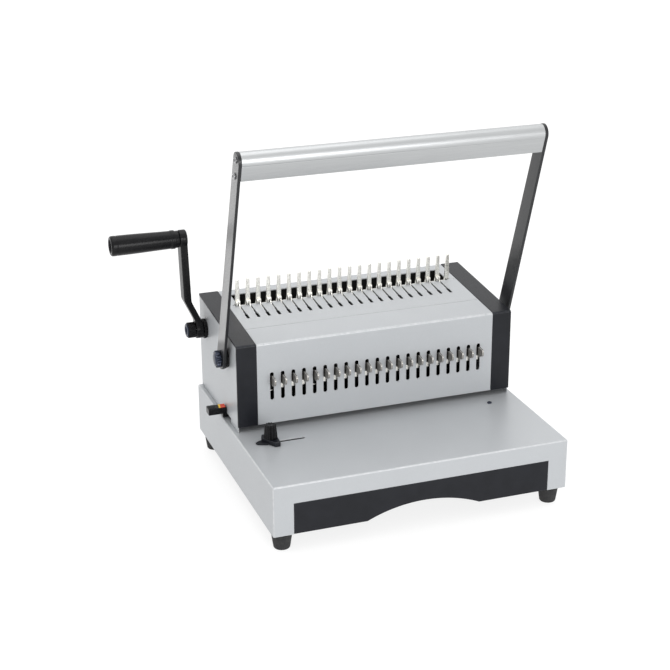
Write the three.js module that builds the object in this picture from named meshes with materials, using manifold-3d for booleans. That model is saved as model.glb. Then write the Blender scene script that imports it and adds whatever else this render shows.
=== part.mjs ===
// Manual comb binding machine, in millimetres, +Z up, +Y towards the back, front facing -Y.
// A punch works at the front (U-shaped handle), a comb opener on the top (crank on the left).
import * as THREE from 'three';
import { mergeVertices } from 'three/addons/utils/BufferGeometryUtils.js';
import Module from 'manifold-3d';

const wasm = await Module();
wasm.setup();

// ---------------------------------------------------------------- driving dimensions
const GAP = 0.3;                 // clearance between pieces that rest on each other
const SHEET = 1.5;               // painted steel sheet
const RING_PITCH = 14.2875;      // 9/16 inch, the pitch of plastic binding combs
const RINGS = 21;                // rings of an A4 comb

const BASE_HALF = 195;           // half width of the base
const BASE_FRONT = -318;
const BASE_REAR = 18;
const BASE_BOTTOM = 24;          // the feet are this tall
const BASE_TOP = 90;

const BODY_FRONT = -157;         // outer face of the end caps
const BODY_REAR = 17;
const BODY_HALF = 189;           // outer side of the end caps
const CAP_INNER = 162.7;         // inner side of the end caps
const CAP_WALL = 3;
const PANEL_BOTTOM = 98;         // the paper throat is between this and the base top
const EDGE_Z = 208.2;            // height of the front top edge
const SLOPE = Math.atan(0.0738); // the top rises towards the back
const PANEL_SET_BACK = 0.5;      // metal panels lie this far below the caps

const DIE_FRONT = -150;
const DIE_REAR = -118;
const PUNCH_FRONT = -138;
const PUNCH_REAR = -130;
const PUNCH_HALF = 1.45;
const RAM_BOTTOM = 140;
const RAM_TOP = 162.2;
const GUIDE_TOP = 110;

const DRIVE_Y = -112.6;          // cross shaft turned by the handle
const DRIVE_Z = 177.5;
const DRIVE_R = 7;
const HANDLE_LEAN = THREE.MathUtils.degToRad(19.2);
const HANDLE_LENGTH = 299;
const ARM_X = 194.2;             // inner face of the handle arms
const ARM_THICK = 3.8;
const CAM_OFFSET = 13;
const CAM_R = 22;
const CAM_ANGLE = THREE.MathUtils.degToRad(32.5);

const CRANK_Y = -12.5;           // comb opener shaft
const CRANK_Z = 182.1;
const CRANK_R = 6;
const CRANK_REACH = 127.7;
const TOOTH_MODULE = 1.3;
const PINION_TEETH = 22;

const FACETS = 28;

// ---------------------------------------------------------------- finishes
const finish = (color, roughness, metalness) =>
  new THREE.MeshStandardMaterial({ color, roughness, metalness });
const silverPaint = finish(0xc4c7c9, 0.45, 0.25);
const charcoal = finish(0x2b2d30, 0.45, 0.0);
const gloss = finish(0x0d0d0f, 0.2, 0.0);
const aluminium = finish(0xb4b7ba, 0.3, 1.0);
const steel = finish(0x8d8f92, 0.35, 1.0);
const nickel = finish(0xdcdcd2, 0.3, 0.8);
const blackSteel = finish(0x1c1c1f, 0.4, 0.5);
const rubber = finish(0x111112, 0.8, 0.0);

// ---------------------------------------------------------------- helpers
const machine = new THREE.Group();
const topFrame = new THREE.Group();          // x as the machine, y along the sloping top, z off it
topFrame.position.set(0, BODY_FRONT, EDGE_Z);
topFrame.rotation.x = SLOPE;
machine.add(topFrame);

function add(name, geometry, material, parent = machine) {
  const mesh = new THREE.Mesh(geometry, material);
  mesh.name = name;
  parent.add(mesh);
  return mesh;
}

function solid(geometry) {
  const bare = new THREE.BufferGeometry();
  bare.setAttribute('position', geometry.getAttribute('position').clone());
  if (geometry.index) bare.setIndex(geometry.index.clone());
  const merged = mergeVertices(bare, 1e-4);
  return new wasm.Manifold(new wasm.Mesh({
    numProp: 3,
    vertProperties: new Float32Array(merged.attributes.position.array),
    triVerts: new Uint32Array(merged.index.array),
  }));
}

function geometryOf(manifold) {
  const mesh = manifold.getMesh();
  const geometry = new THREE.BufferGeometry();
  geometry.setAttribute('position', new THREE.BufferAttribute(mesh.vertProperties, 3));
  geometry.setIndex(new THREE.BufferAttribute(mesh.triVerts, 1));
  geometry.computeVertexNormals();
  return geometry;
}

const join = (first, ...others) =>
  geometryOf(others.reduce((body, other) => body.add(solid(other)), solid(first)));
const cut = (first, ...others) =>
  geometryOf(others.reduce((body, other) => body.subtract(solid(other)), solid(first)));

function box(x0, x1, y0, y1, z0, z1) {
  const geometry = new THREE.BoxGeometry(x1 - x0, y1 - y0, z1 - z0);
  return geometry.translate((x0 + x1) / 2, (y0 + y1) / 2, (z0 + z1) / 2);
}

function outline(points, hole) {
  const shape = new THREE.Shape(points.map(([a, b]) => new THREE.Vector2(a, b)));
  if (hole) shape.holes.push(hole);
  return shape;
}

// A shape drawn in (y, z), pushed along x.
function alongX(shape, x0, x1, curveSegments = 12) {
  const options = { depth: x1 - x0, bevelEnabled: false, curveSegments };
  const axes = new THREE.Matrix4().makeBasis(
    new THREE.Vector3(0, 1, 0), new THREE.Vector3(0, 0, 1), new THREE.Vector3(1, 0, 0));
  return new THREE.ExtrudeGeometry(shape, options).applyMatrix4(axes).translate(x0, 0, 0);
}

// A shape drawn in (x, z), pushed along y.
function alongY(shape, y0, y1, curveSegments = 12) {
  const options = { depth: y1 - y0, bevelEnabled: false, curveSegments };
  const axes = new THREE.Matrix4().makeBasis(
    new THREE.Vector3(1, 0, 0), new THREE.Vector3(0, 0, 1), new THREE.Vector3(0, -1, 0));
  return new THREE.ExtrudeGeometry(shape, options).applyMatrix4(axes).translate(0, y1, 0);
}

// A shape drawn in (x, y), pushed along z.
function alongZ(shape, z0, z1, curveSegments = 12) {
  const options = { depth: z1 - z0, bevelEnabled: false, curveSegments };
  return new THREE.ExtrudeGeometry(shape, options).translate(0, 0, z0);
}

function circle(a, b, radius) {
  const path = new THREE.Path();
  path.absarc(a, b, radius, 0, Math.PI * 2, true);
  return path;
}

// A turned piece about an axis along x through (y, z): profile points are (radius, x).
function turned(profile, y, z, facets = FACETS) {
  const points = profile.map(([radius, x]) => new THREE.Vector2(radius, x));
  const geometry = new THREE.LatheGeometry(points, facets);
  return geometry.rotateZ(-Math.PI / 2).translate(0, y, z);
}

const rod = (radius, x0, x1, y, z, facets) =>
  turned([[0, x0], [radius, x0], [radius, x1], [0, x1]], y, z, facets);
const ring = (inner, outer, x0, x1, y, z) =>
  turned([[inner, x0], [outer, x0], [outer, x1], [inner, x1], [inner, x0]], y, z);

// A slot with round ends, drawn as an outline of the given width.
function slot(a, b0, b1, width, steps = 5) {
  const radius = width / 2;
  const points = [];
  for (let i = 0; i <= steps; i++) {
    const turn = (Math.PI * i) / steps;
    points.push([a + radius * Math.cos(turn), b1 - radius + radius * Math.sin(turn)]);
  }
  for (let i = 0; i <= steps; i++) {
    const turn = Math.PI + (Math.PI * i) / steps;
    points.push([a + radius * Math.cos(turn), b0 + radius + radius * Math.sin(turn)]);
  }
  return outline(points);
}

const topZ = (y) => EDGE_Z + Math.tan(SLOPE) * (y - BODY_FRONT);
const ringX = Array.from({ length: RINGS }, (_, k) => (k - (RINGS - 1) / 2) * RING_PITCH);

// ---------------------------------------------------------------- base
const DRAWER_HALF = 168.5;
const DRAWER_TOP = 65;
const PUNCH_CLEAR = 0.45;
const GUIDE_Y = -195.8;          // the edge guide slides in a slot along this line
const GUIDE_SLOT_HALF = 2.5;
const GUIDE_SLOT_ENDS = [-171, -113];
const FLOOR_NOTCH_HALF = 150;    // the floor is cut back so that fingers reach the drawer
const FLOOR_NOTCH_REAR = -262;
const FLOOR_FRONT = BASE_FRONT + 4.5;

const punchHoles = (clear, z0, z1) => ringX.map((x) => box(
  x - PUNCH_HALF - clear, x + PUNCH_HALF + clear,
  PUNCH_FRONT - clear, PUNCH_REAR + clear, z0, z1));

add('base_pan', cut(
  box(-BASE_HALF, BASE_HALF, BASE_FRONT, BASE_REAR, BASE_BOTTOM, BASE_TOP),
  box(-BASE_HALF + SHEET, BASE_HALF - SHEET, BASE_FRONT + SHEET, BASE_REAR - SHEET,
    BASE_BOTTOM - 1, BASE_TOP - SHEET),
  box(-DRAWER_HALF - GAP, DRAWER_HALF + GAP, BASE_FRONT - 1, BASE_FRONT + 2 * SHEET,
    BASE_BOTTOM - 1, DRAWER_TOP + GAP),
  box(...GUIDE_SLOT_ENDS, GUIDE_Y - GUIDE_SLOT_HALF, GUIDE_Y + GUIDE_SLOT_HALF,
    BASE_TOP - 4, BASE_TOP + 1),
  ...punchHoles(0.8, BASE_TOP - 4, BASE_TOP + 1),
), silverPaint);

const floorHalf = BASE_HALF - SHEET - GAP;
add('base_floor', alongZ(outline([
  [-floorHalf, FLOOR_FRONT], [-FLOOR_NOTCH_HALF, FLOOR_FRONT],
  [-FLOOR_NOTCH_HALF, FLOOR_NOTCH_REAR], [FLOOR_NOTCH_HALF, FLOOR_NOTCH_REAR],
  [FLOOR_NOTCH_HALF, FLOOR_FRONT], [floorHalf, FLOOR_FRONT],
  [floorHalf, BASE_REAR - SHEET - GAP], [-floorHalf, BASE_REAR - SHEET - GAP],
]), BASE_BOTTOM + GAP, BASE_BOTTOM + GAP + SHEET), blackSteel);

const FOOT_X = 179;
const FOOT_FRONT_Y = -300;
const FOOT_REAR_Y = 0;
// (radius, height) from the floor up
const footProfile = [[0, 0], [8.6, 0], [9.7, 0.7], [10.4, 2], [13.5, 23.9], [0, 23.9]];
const feet = {
  foot_front_left: [-FOOT_X, FOOT_FRONT_Y],
  foot_front_right: [FOOT_X, FOOT_FRONT_Y],
  foot_rear_left: [-FOOT_X, FOOT_REAR_Y],
  foot_rear_right: [FOOT_X, FOOT_REAR_Y],
};
for (const [name, [x, y]] of Object.entries(feet)) {
  const points = footProfile.map(([radius, z]) => new THREE.Vector2(radius, z));
  const foot = new THREE.LatheGeometry(points, 20).rotateX(Math.PI / 2);
  add(name, foot, rubber).position.set(x, y, 0);
}

// ---------------------------------------------------------------- chip drawer
// The finger scoop is one long arc, cut off by the bottom edge of the drawer front.
function arch(halfWidth, rise, depth = 3) {
  const radius = (halfWidth ** 2 + rise ** 2) / (2 * rise);
  const centre = BASE_BOTTOM + rise - radius;
  const reach = Math.acos((BASE_BOTTOM - depth - centre) / radius);
  const shape = new THREE.Shape();
  shape.absarc(0, centre, radius, Math.PI / 2 - reach, Math.PI / 2 + reach, false);
  return shape;
}
const TRAY_HALF = 160;
const TRAY_BACK = -92;
const TRAY_FLOOR = BASE_BOTTOM + 2.1;
const TRAY_TOP = 60;
const DRAWER_FACE = BASE_FRONT + 4;
const SCOOP_BACK = -264;
const SCOOP_HALF = 75;
const SCOOP_RISE = 16;
const PLASTIC = 2;
{
  const face = box(-DRAWER_HALF, DRAWER_HALF, BASE_FRONT, DRAWER_FACE, BASE_BOTTOM + GAP, DRAWER_TOP);
  const tray = cut(
    box(-TRAY_HALF, TRAY_HALF, DRAWER_FACE - 1, TRAY_BACK, TRAY_FLOOR, TRAY_TOP),
    box(-TRAY_HALF + PLASTIC, TRAY_HALF - PLASTIC, DRAWER_FACE, TRAY_BACK - PLASTIC,
      TRAY_FLOOR + PLASTIC, TRAY_TOP + 1));
  const scoopShell = alongY(arch(SCOOP_HALF + PLASTIC, SCOOP_RISE + PLASTIC),
    DRAWER_FACE - 1, SCOOP_BACK, 8);
  const aboveFloor = box(-90, 90, DRAWER_FACE - 1, SCOOP_BACK, TRAY_FLOOR, TRAY_TOP);
  const scoopWall = geometryOf(solid(scoopShell).intersect(solid(aboveFloor)));
  const scoop = alongY(arch(SCOOP_HALF, SCOOP_RISE), BASE_FRONT - 1, SCOOP_BACK - PLASTIC, 8);
  add('chip_drawer', cut(join(face, tray, scoopWall), scoop), charcoal);
}

// ---------------------------------------------------------------- body shell
const CAP_BEND = 3;
const BUSH_R = 10;
const LEVER_NOTCH = [-122, -86];         // at the foot of the left side panel
const LEVER_NOTCH_TOP = 96.8;
const SIDE_SHEET_OUTER = BODY_HALF - GAP;
const SIDE_SHEET_INNER = SIDE_SHEET_OUTER - SHEET;

// L-shaped cover over one end: front wall, rounded edge and sloping top wall.
function capOutline(inset, wall, rear, bottom) {
  const front = BODY_FRONT + inset;
  const high = (y) => topZ(y) - inset;
  const bend = CAP_BEND;
  const points = [[front, bottom]];
  for (let i = 0; i <= 4; i++) {
    const turn = Math.PI - (i / 4) * (Math.PI / 2 - SLOPE);
    points.push([front + bend + bend * Math.cos(turn), high(front) - bend + bend * Math.sin(turn)]);
  }
  points.push([rear, high(rear)], [rear, high(rear) - wall]);
  points.push([front + wall, high(front + wall) - wall], [front + wall, bottom]);
  return outline(points.reverse());
}
for (const [side, sign] of [['left', -1], ['right', 1]]) {
  const [x0, x1] = sign < 0 ? [-BODY_HALF, -CAP_INNER] : [CAP_INNER, BODY_HALF];
  const cap = alongX(capOutline(0, CAP_WALL, BODY_REAR + 0.5, PANEL_BOTTOM), x0, x1);
  add(`end_cap_${side}`, cap, charcoal);

  const [p0, p1] = sign < 0
    ? [-SIDE_SHEET_OUTER, -SIDE_SHEET_INNER] : [SIDE_SHEET_INNER, SIDE_SHEET_OUTER];
  const low = BASE_TOP + GAP;
  const front = BODY_FRONT + CAP_WALL + GAP;
  const panel = outline([
    [front, low], [BODY_REAR, low], [BODY_REAR, topZ(BODY_REAR) - CAP_WALL - GAP],
    [front, topZ(front) - CAP_WALL - GAP],
  ]);
  panel.holes.push(circle(DRIVE_Y, DRIVE_Z, BUSH_R + 0.4), circle(CRANK_Y, CRANK_Z, CRANK_R + 0.5));
  let sheet = alongX(panel, p0, p1);
  if (sign < 0) sheet = cut(sheet, box(p0 - 1, p1 + 1, ...LEVER_NOTCH, low - 1, LEVER_NOTCH_TOP));
  add(`side_panel_${side}`, sheet, silverPaint);
}
const PANEL_HALF = CAP_INNER - GAP;
const SEAM_Y = -109;
const SLOT_BOTTOM = 130;
const SLOT_TOP = 167.7;
const TAB_SLOT_WIDTH = 5;
add('front_panel', cut(
  alongX(capOutline(PANEL_SET_BACK, SHEET, SEAM_Y - GAP, PANEL_BOTTOM), -PANEL_HALF, PANEL_HALF),
  ...ringX.map((x) => alongY(slot(x, SLOT_BOTTOM, SLOT_TOP, TAB_SLOT_WIDTH),
    BODY_FRONT - 2, BODY_FRONT + 4)),
), silverPaint);

const rearHalf = SIDE_SHEET_INNER - GAP;
add('rear_panel', box(-rearHalf, rearHalf, BODY_REAR - SHEET - GAP, BODY_REAR - GAP,
  BASE_TOP + GAP, topZ(BODY_REAR) - CAP_WALL - GAP - 0.5), silverPaint);

// ---------------------------------------------------------------- comb opener, in the top's frame
const along = (y) => (y - BODY_FRONT) / Math.cos(SLOPE);
const tineX = (k) => (k - RINGS / 2) * RING_PITCH;
const FACE = -PANEL_SET_BACK;                 // upper face of the metal top
const SLOT_FRONT = 79.6;                      // each hook slot is a keyhole: wide end, narrow run
const SLOT_WIDE_END = 94;
const SLOT_WIDE = 4.2;
const SLOT_NARROW_HALF = 1.2;
const TROUGH_FRONT = 121.5;
const TROUGH_REAR = 159.4;
const TINE_FRONT = 124.6;
const TINE_THICK = 2.8;
const TINE_TOP = 36;
const TINE_BED_HALF = 3.8;                    // half width of the cut-out round an end tine
const HOOK_OFFSET = 1.9;                      // a hook's blade runs right of the middle of its tine

const CUT = [-5, 2];                          // cutters for the metal top reach from here to here
const TROUGH_RIGHT = 0.5;                     // the trough ends this far left of the last tine

const hookX = Array.from({ length: RINGS }, (_, k) => tineX(k) + HOOK_OFFSET);
const lastTine = tineX(RINGS);
add('top_plate', cut(
  box(-PANEL_HALF, PANEL_HALF, along(SEAM_Y) + GAP, along(BODY_REAR), FACE - SHEET, FACE),
  box(tineX(0), lastTine - TROUGH_RIGHT, TROUGH_FRONT, TROUGH_REAR, ...CUT),
  box(tineX(0) - TINE_BED_HALF, tineX(0) + TINE_BED_HALF, TROUGH_FRONT, TINE_FRONT + 4, ...CUT),
  box(lastTine - TINE_BED_HALF, lastTine + TINE_BED_HALF, TINE_FRONT - 1, TINE_FRONT + 4, ...CUT),
  ...hookX.map((x) => alongZ(slot(x, SLOT_FRONT, SLOT_WIDE_END, SLOT_WIDE), ...CUT)),
  ...hookX.map((x) => box(x - SLOT_NARROW_HALF, x + SLOT_NARROW_HALF,
    SLOT_WIDE_END - 3, TROUGH_FRONT + 1, ...CUT)),
), silverPaint, topFrame);

const TINE_SHOULDER = FACE - SHEET - 0.6;     // below this the tines are one plate
const COMB_LOW = -24;
const COMB_MARGIN = 4;
const FOOT_HALF = 3.2;                        // half widths of a tine, from foot to tip
const STEP_HALF = 2.3;
const TIP_HALF = 2.2;
{
  const comb = [[tineX(0) - COMB_MARGIN, COMB_LOW], [lastTine + COMB_MARGIN, COMB_LOW],
    [lastTine + COMB_MARGIN, TINE_SHOULDER]];
  for (let k = RINGS; k >= 0; k--) {
    const x = tineX(k);
    comb.push([x + FOOT_HALF, TINE_SHOULDER], [x + FOOT_HALF, 4]);
    comb.push([x + FOOT_HALF - 0.3, 14.5], [x + STEP_HALF, 17.5]);
    comb.push([x + TIP_HALF, TINE_TOP - 2], [x + 1.2, TINE_TOP - 0.4], [x, TINE_TOP]);
    comb.push([x - 1.2, TINE_TOP - 0.4], [x - TIP_HALF, TINE_TOP - 2]);
    comb.push([x - FOOT_HALF + 0.4, 13], [x - FOOT_HALF, 4], [x - FOOT_HALF, TINE_SHOULDER]);
  }
  comb.push([tineX(0) - COMB_MARGIN, TINE_SHOULDER]);
  add('comb_tines', alongY(outline(comb), TINE_FRONT, TINE_FRONT + TINE_THICK), nickel, topFrame);
}

// The crank shaft seen from the top's frame, and the rack above it.
const crankFromEdge = new THREE.Vector2(CRANK_Y - BODY_FRONT, CRANK_Z - EDGE_Z)
  .rotateAround(new THREE.Vector2(), -SLOPE);
const PINION_PITCH_R = (TOOTH_MODULE * PINION_TEETH) / 2;
const TOOTH_PITCH = Math.PI * TOOTH_MODULE;
const ADDENDUM = 1.15;
const DEDENDUM = 1.6;
const RACK_LINE = crankFromEdge.y + PINION_PITCH_R;
const RACK_BACK = along(BODY_REAR) - 6;
const RACK_X0 = 158.4;
const RACK_X1 = 162.3;
const SLIDE_TOP = -2.4;                       // the slider runs just under the metal top
const SLIDE_THICK = 2;
const SLIDE_FRONT = 95;
const SLIDE_REAR = 118;
const HOOK_BLADE_HALF = 0.8;
const HOOK_HEAD_HALF = 3;
const HOOK_REAR = 123.8;
const RACK_TOP = -12;

function rackArm() {
  const under = SLIDE_TOP - SLIDE_THICK + 0.2;
  const points = [[98, under], [SLIDE_REAR, under], [134, RACK_LINE + DEDENDUM]];
  const first = Math.ceil((136 - crankFromEdge.x) / TOOTH_PITCH);
  const last = Math.floor((RACK_BACK - 3 - crankFromEdge.x) / TOOTH_PITCH);
  for (let k = first; k < last; k++) {
    const mid = crankFromEdge.x + (k + 0.5) * TOOTH_PITCH;
    points.push([mid - 1.25, RACK_LINE + DEDENDUM], [mid - 0.35, RACK_LINE - ADDENDUM]);
    points.push([mid + 0.35, RACK_LINE - ADDENDUM], [mid + 1.25, RACK_LINE + DEDENDUM]);
  }
  points.push([RACK_BACK, RACK_LINE + DEDENDUM], [RACK_BACK, RACK_TOP], [142, RACK_TOP]);
  points.push([124, SLIDE_TOP], [98, SLIDE_TOP]);
  return outline(points);
}
{
  const pieces = [
    alongX(rackArm(), RACK_X0, RACK_X1),
    alongX(rackArm(), -RACK_X1, -RACK_X0),
  ];
  // Each hook: a blade in the slot, a head as wide as its tine, and a prong at its left.
  const blade = outline([
    [106, SLIDE_TOP - 1], [SLIDE_REAR, SLIDE_TOP - 1], [HOOK_REAR, 0.4], [HOOK_REAR, 4.6], [121, 4.6],
    [121, 1], [118.6, -0.9], [106, -0.9],
  ]);
  hookX.forEach((x, k) => {
    const middle = tineX(k);
    pieces.push(alongX(blade, x - HOOK_BLADE_HALF, x + HOOK_BLADE_HALF));
    pieces.push(box(middle - HOOK_HEAD_HALF, middle + HOOK_HEAD_HALF,
      HOOK_REAR - 2.4, HOOK_REAR + 0.4, 1.6, 5.8));
    pieces.push(box(middle - HOOK_HEAD_HALF, middle - 1.2, HOOK_REAR - 4.6, HOOK_REAR - 1.8, 0, 4.2));
  });
  const plate = box(-RACK_X1, RACK_X1, SLIDE_FRONT, SLIDE_REAR, SLIDE_TOP - SLIDE_THICK, SLIDE_TOP);
  add('hook_slider', join(plate, ...pieces), nickel, topFrame);
}

// ---------------------------------------------------------------- punch
const DIE_HALF = 160;
const DIE_BOTTOM = 78;
const DIE_CLEAR = 0.15;
const RAM_HALF = 176;
add('die_block', cut(
  box(-DIE_HALF, DIE_HALF, DIE_FRONT, DIE_REAR, DIE_BOTTOM, BASE_TOP - SHEET - GAP),
  ...punchHoles(DIE_CLEAR, DIE_BOTTOM - 1, BASE_TOP),
), steel);
add('punch_guide', cut(
  box(-rearHalf, rearHalf, DIE_FRONT, DIE_REAR, PANEL_BOTTOM + GAP, GUIDE_TOP),
  ...punchHoles(PUNCH_CLEAR, PANEL_BOTTOM - 1, GUIDE_TOP + 1),
), steel);

const PUNCH_TIP = 99.3;
const TAB_HALF = 1.1;
const TAB_LOW = 151;
const TAB_REAR = -137.2;
add('punch_ram', cut(
  join(
    box(-RAM_HALF, RAM_HALF, DIE_FRONT, DIE_REAR, RAM_BOTTOM, RAM_TOP),
    ...ringX.map((x) => box(x - PUNCH_HALF, x + PUNCH_HALF, PUNCH_FRONT, PUNCH_REAR,
      PUNCH_TIP, RAM_BOTTOM + 1)),
  ),
  ...ringX.map((x) => box(x - TAB_HALF - GAP, x + TAB_HALF + GAP, DIE_FRONT - 1, TAB_REAR + GAP,
    TAB_LOW - GAP, RAM_TOP + 1)),
), steel);

// Release tab of one punch: a flat plate with a rounded nose, pulled to leave its punch out.
const tabOutline = outline([
  [TAB_REAR, TAB_LOW], [-157.5, TAB_LOW], [-162, 150.4], [-168, 153.4], [-171, 155.2],
  [-172, 156.6], [-172, 162], [-170.6, 163.4], [-166, 163.8], [-160, 164.2], [-157.5, 163.2],
  [-155, 161], [TAB_REAR, 161],
].reverse());
ringX.forEach((x, k) => {
  const tab = alongX(tabOutline, -TAB_HALF, TAB_HALF);
  add(`release_tab_${String(k + 1).padStart(2, '0')}`, tab, nickel).position.x = x;
});

// ---------------------------------------------------------------- punch drive
const SHAFT_HALF = 203;
const CAM_X = 150;
const CAM_THICK = 10;
add('drive_shaft', rod(DRIVE_R, -SHAFT_HALF, SHAFT_HALF, DRIVE_Y, DRIVE_Z), steel);
for (const [side, x0] of [['left', -CAM_X - CAM_THICK], ['right', CAM_X]]) {
  const cam = new THREE.Shape();
  const lobeY = DRIVE_Y - CAM_OFFSET * Math.cos(CAM_ANGLE);
  const lobeZ = DRIVE_Z + CAM_OFFSET * Math.sin(CAM_ANGLE);
  cam.absarc(lobeY, lobeZ, CAM_R, 0, Math.PI * 2, false);
  cam.holes.push(circle(DRIVE_Y, DRIVE_Z, DRIVE_R + GAP));
  add(`cam_${side}`, alongX(cam, x0, x0 + CAM_THICK), steel);
}

// Profiles of the right-hand bush and nut as (radius, x).
const boreR = DRIVE_R + GAP;
const FLANGE_R = 12.5;
const NUT_R = 11;
const NUT_X = ARM_X + ARM_THICK + GAP;
const bushProfile = [
  [boreR, BODY_HALF - 7], [BUSH_R, BODY_HALF - 7], [BUSH_R, BODY_HALF], [FLANGE_R, BODY_HALF],
  [FLANGE_R, ARM_X - 0.4], [boreR, ARM_X - 0.4], [boreR, BODY_HALF - 7],
];
const nutProfile = [
  [0, SHAFT_HALF + GAP], [boreR, SHAFT_HALF + GAP], [boreR, NUT_X], [NUT_R, NUT_X],
  [NUT_R, NUT_X + 6.3], [NUT_R - 1.4, NUT_X + 7.7], [0, NUT_X + 7.7],
];
const ARM_LOW_R = 14;
const ARM_HIGH_R = 11.5;
const SPRING_R = 5;
const WIRE_R = 0.6;
const COILS = 5;
const SPRING_STEPS = 48;
const SPRING_X = 168;
const mirrored = (profile) => profile.map(([radius, x]) => [radius, -x]).reverse();
const sides = [['left', mirrored, -1], ['right', (profile) => profile, 1]];
for (const [side, flip, sign] of sides) {
  add(`bearing_${side}`, turned(flip(bushProfile), DRIVE_Y, DRIVE_Z), blackSteel);
  add(`hub_nut_${side}`, turned(flip(nutProfile), DRIVE_Y, DRIVE_Z, 20), blackSteel);

  const arm = new THREE.Shape();
  const flare = Math.asin((ARM_LOW_R - ARM_HIGH_R) / HANDLE_LENGTH);
  arm.absarc(0, 0, ARM_LOW_R, Math.PI - flare, 2 * Math.PI + flare, false);
  arm.absarc(0, HANDLE_LENGTH, ARM_HIGH_R, flare, Math.PI - flare, false);
  arm.holes.push(circle(0, 0, boreR));
  const x0 = sign < 0 ? -ARM_X - ARM_THICK : ARM_X;
  const blade = alongX(arm, x0, x0 + ARM_THICK).rotateX(HANDLE_LEAN);
  add(`handle_arm_${side}`, blade, blackSteel).position.set(0, DRIVE_Y, DRIVE_Z);

  const spring = new THREE.CatmullRomCurve3(Array.from({ length: SPRING_STEPS + 1 }, (_, i) => {
    const share = i / SPRING_STEPS;
    const turn = share * COILS * 2 * Math.PI;
    const z = GUIDE_TOP + 1 + share * (RAM_BOTTOM - GUIDE_TOP - 2);
    return new THREE.Vector3(SPRING_R * Math.cos(turn), SPRING_R * Math.sin(turn), z);
  }));
  const wire = new THREE.Shape();
  wire.absarc(0, 0, WIRE_R, 0, Math.PI * 2, false);
  const coil = new THREE.ExtrudeGeometry(wire, { steps: 60, extrudePath: spring, curveSegments: 3 });
  add(`return_spring_${side}`, coil, steel)
    .position.set(sign * SPRING_X, (PUNCH_FRONT + PUNCH_REAR) / 2, 0);
}

// Extruded grip bar: half-round top with a skirt down the front and back.
{
  const [outer, wall, skirt] = [11.2, 2.2, 21];
  const bar = new THREE.Shape();
  bar.moveTo(-outer, -skirt);
  bar.lineTo(-outer + wall, -skirt);
  bar.lineTo(-outer + wall, 0);
  bar.absarc(0, 0, outer - wall, Math.PI, 0, true);
  bar.lineTo(outer - wall, -skirt);
  bar.lineTo(outer, -skirt);
  bar.lineTo(outer, 0);
  bar.absarc(0, 0, outer, 0, Math.PI, false);
  bar.closePath();
  const reach = ARM_X - GAP;
  const grip = alongX(bar, -reach, reach, 10).translate(0, 0, HANDLE_LENGTH).rotateX(HANDLE_LEAN);
  add('handle_bar', grip, aluminium).position.set(0, DRIVE_Y, DRIVE_Z);
}

// ---------------------------------------------------------------- crank
const COLLAR_R = 9;                      // the shaft's collar runs against the left side panel
const COLLAR_X = -193.6;
const SHAFT_LEFT = -212;
const SHAFT_RIGHT = 188.5;
add('crank_shaft', turned([
  [0, SHAFT_LEFT], [CRANK_R, SHAFT_LEFT], [CRANK_R, COLLAR_X], [COLLAR_R, COLLAR_X],
  [COLLAR_R, -BODY_HALF], [CRANK_R, -BODY_HALF], [CRANK_R, SHAFT_RIGHT], [0, SHAFT_RIGHT],
], CRANK_Y, CRANK_Z), steel);
{
  const points = [];
  for (let k = 0; k < PINION_TEETH; k++) {
    const middle = Math.PI / 2 + (k / PINION_TEETH) * Math.PI * 2;
    const corners = [[-0.095, -DEDENDUM], [-0.028, ADDENDUM], [0.028, ADDENDUM], [0.095, -DEDENDUM]];
    for (const [turn, height] of corners) {
      const radius = PINION_PITCH_R + height;
      points.push([radius * Math.cos(middle + turn), radius * Math.sin(middle + turn)]);
    }
  }
  const pinion = alongX(outline(points, circle(0, 0, CRANK_R + GAP)), -RACK_X1 - 3.7, -RACK_X0 + 0.4);
  add('crank_pinion', pinion, steel, topFrame).position.set(0, crankFromEdge.x, crankFromEdge.y);
}
const GRIP_Z = CRANK_Z + CRANK_REACH;
const BEND_Z = CRANK_Z + 42;             // the arm steps outwards up to here, then leans a little
const BEND_X0 = -218.9;
const BEND_X1 = -208.9;
const CRANK_BLADE_HALF = 9.5;
const FOOT_X0 = -204;                    // foot of the arm, outer and inner face
const FOOT_X1 = -193.9;
const HEAD_X0 = -221.4;
const HEAD_X1 = -211.4;
const SPINDLE_R = 4;
{
  // Cranked arm, drawn from the side it is bent in, with a boss at each end.
  const blade = alongY(outline([
    [FOOT_X0, CRANK_Z - 6], [FOOT_X1, CRANK_Z - 6], [FOOT_X1, CRANK_Z + 10], [BEND_X1, BEND_Z],
    [HEAD_X1, GRIP_Z], [HEAD_X0, GRIP_Z], [BEND_X0, BEND_Z + 2], [FOOT_X0, CRANK_Z + 12],
  ]), CRANK_Y - CRANK_BLADE_HALF, CRANK_Y + CRANK_BLADE_HALF);
  const arm = join(
    blade,
    rod(12, FOOT_X0, FOOT_X1, CRANK_Y, CRANK_Z),
    rod(11.8, HEAD_X0, HEAD_X1, CRANK_Y, GRIP_Z),
    rod(SPINDLE_R, -302, HEAD_X0 + 1.4, CRANK_Y, GRIP_Z, 16));
  add('crank_arm', cut(arm, rod(CRANK_R + GAP, FOOT_X0 - 1, FOOT_X1 + 1, CRANK_Y, CRANK_Z)), gloss);
}

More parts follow.
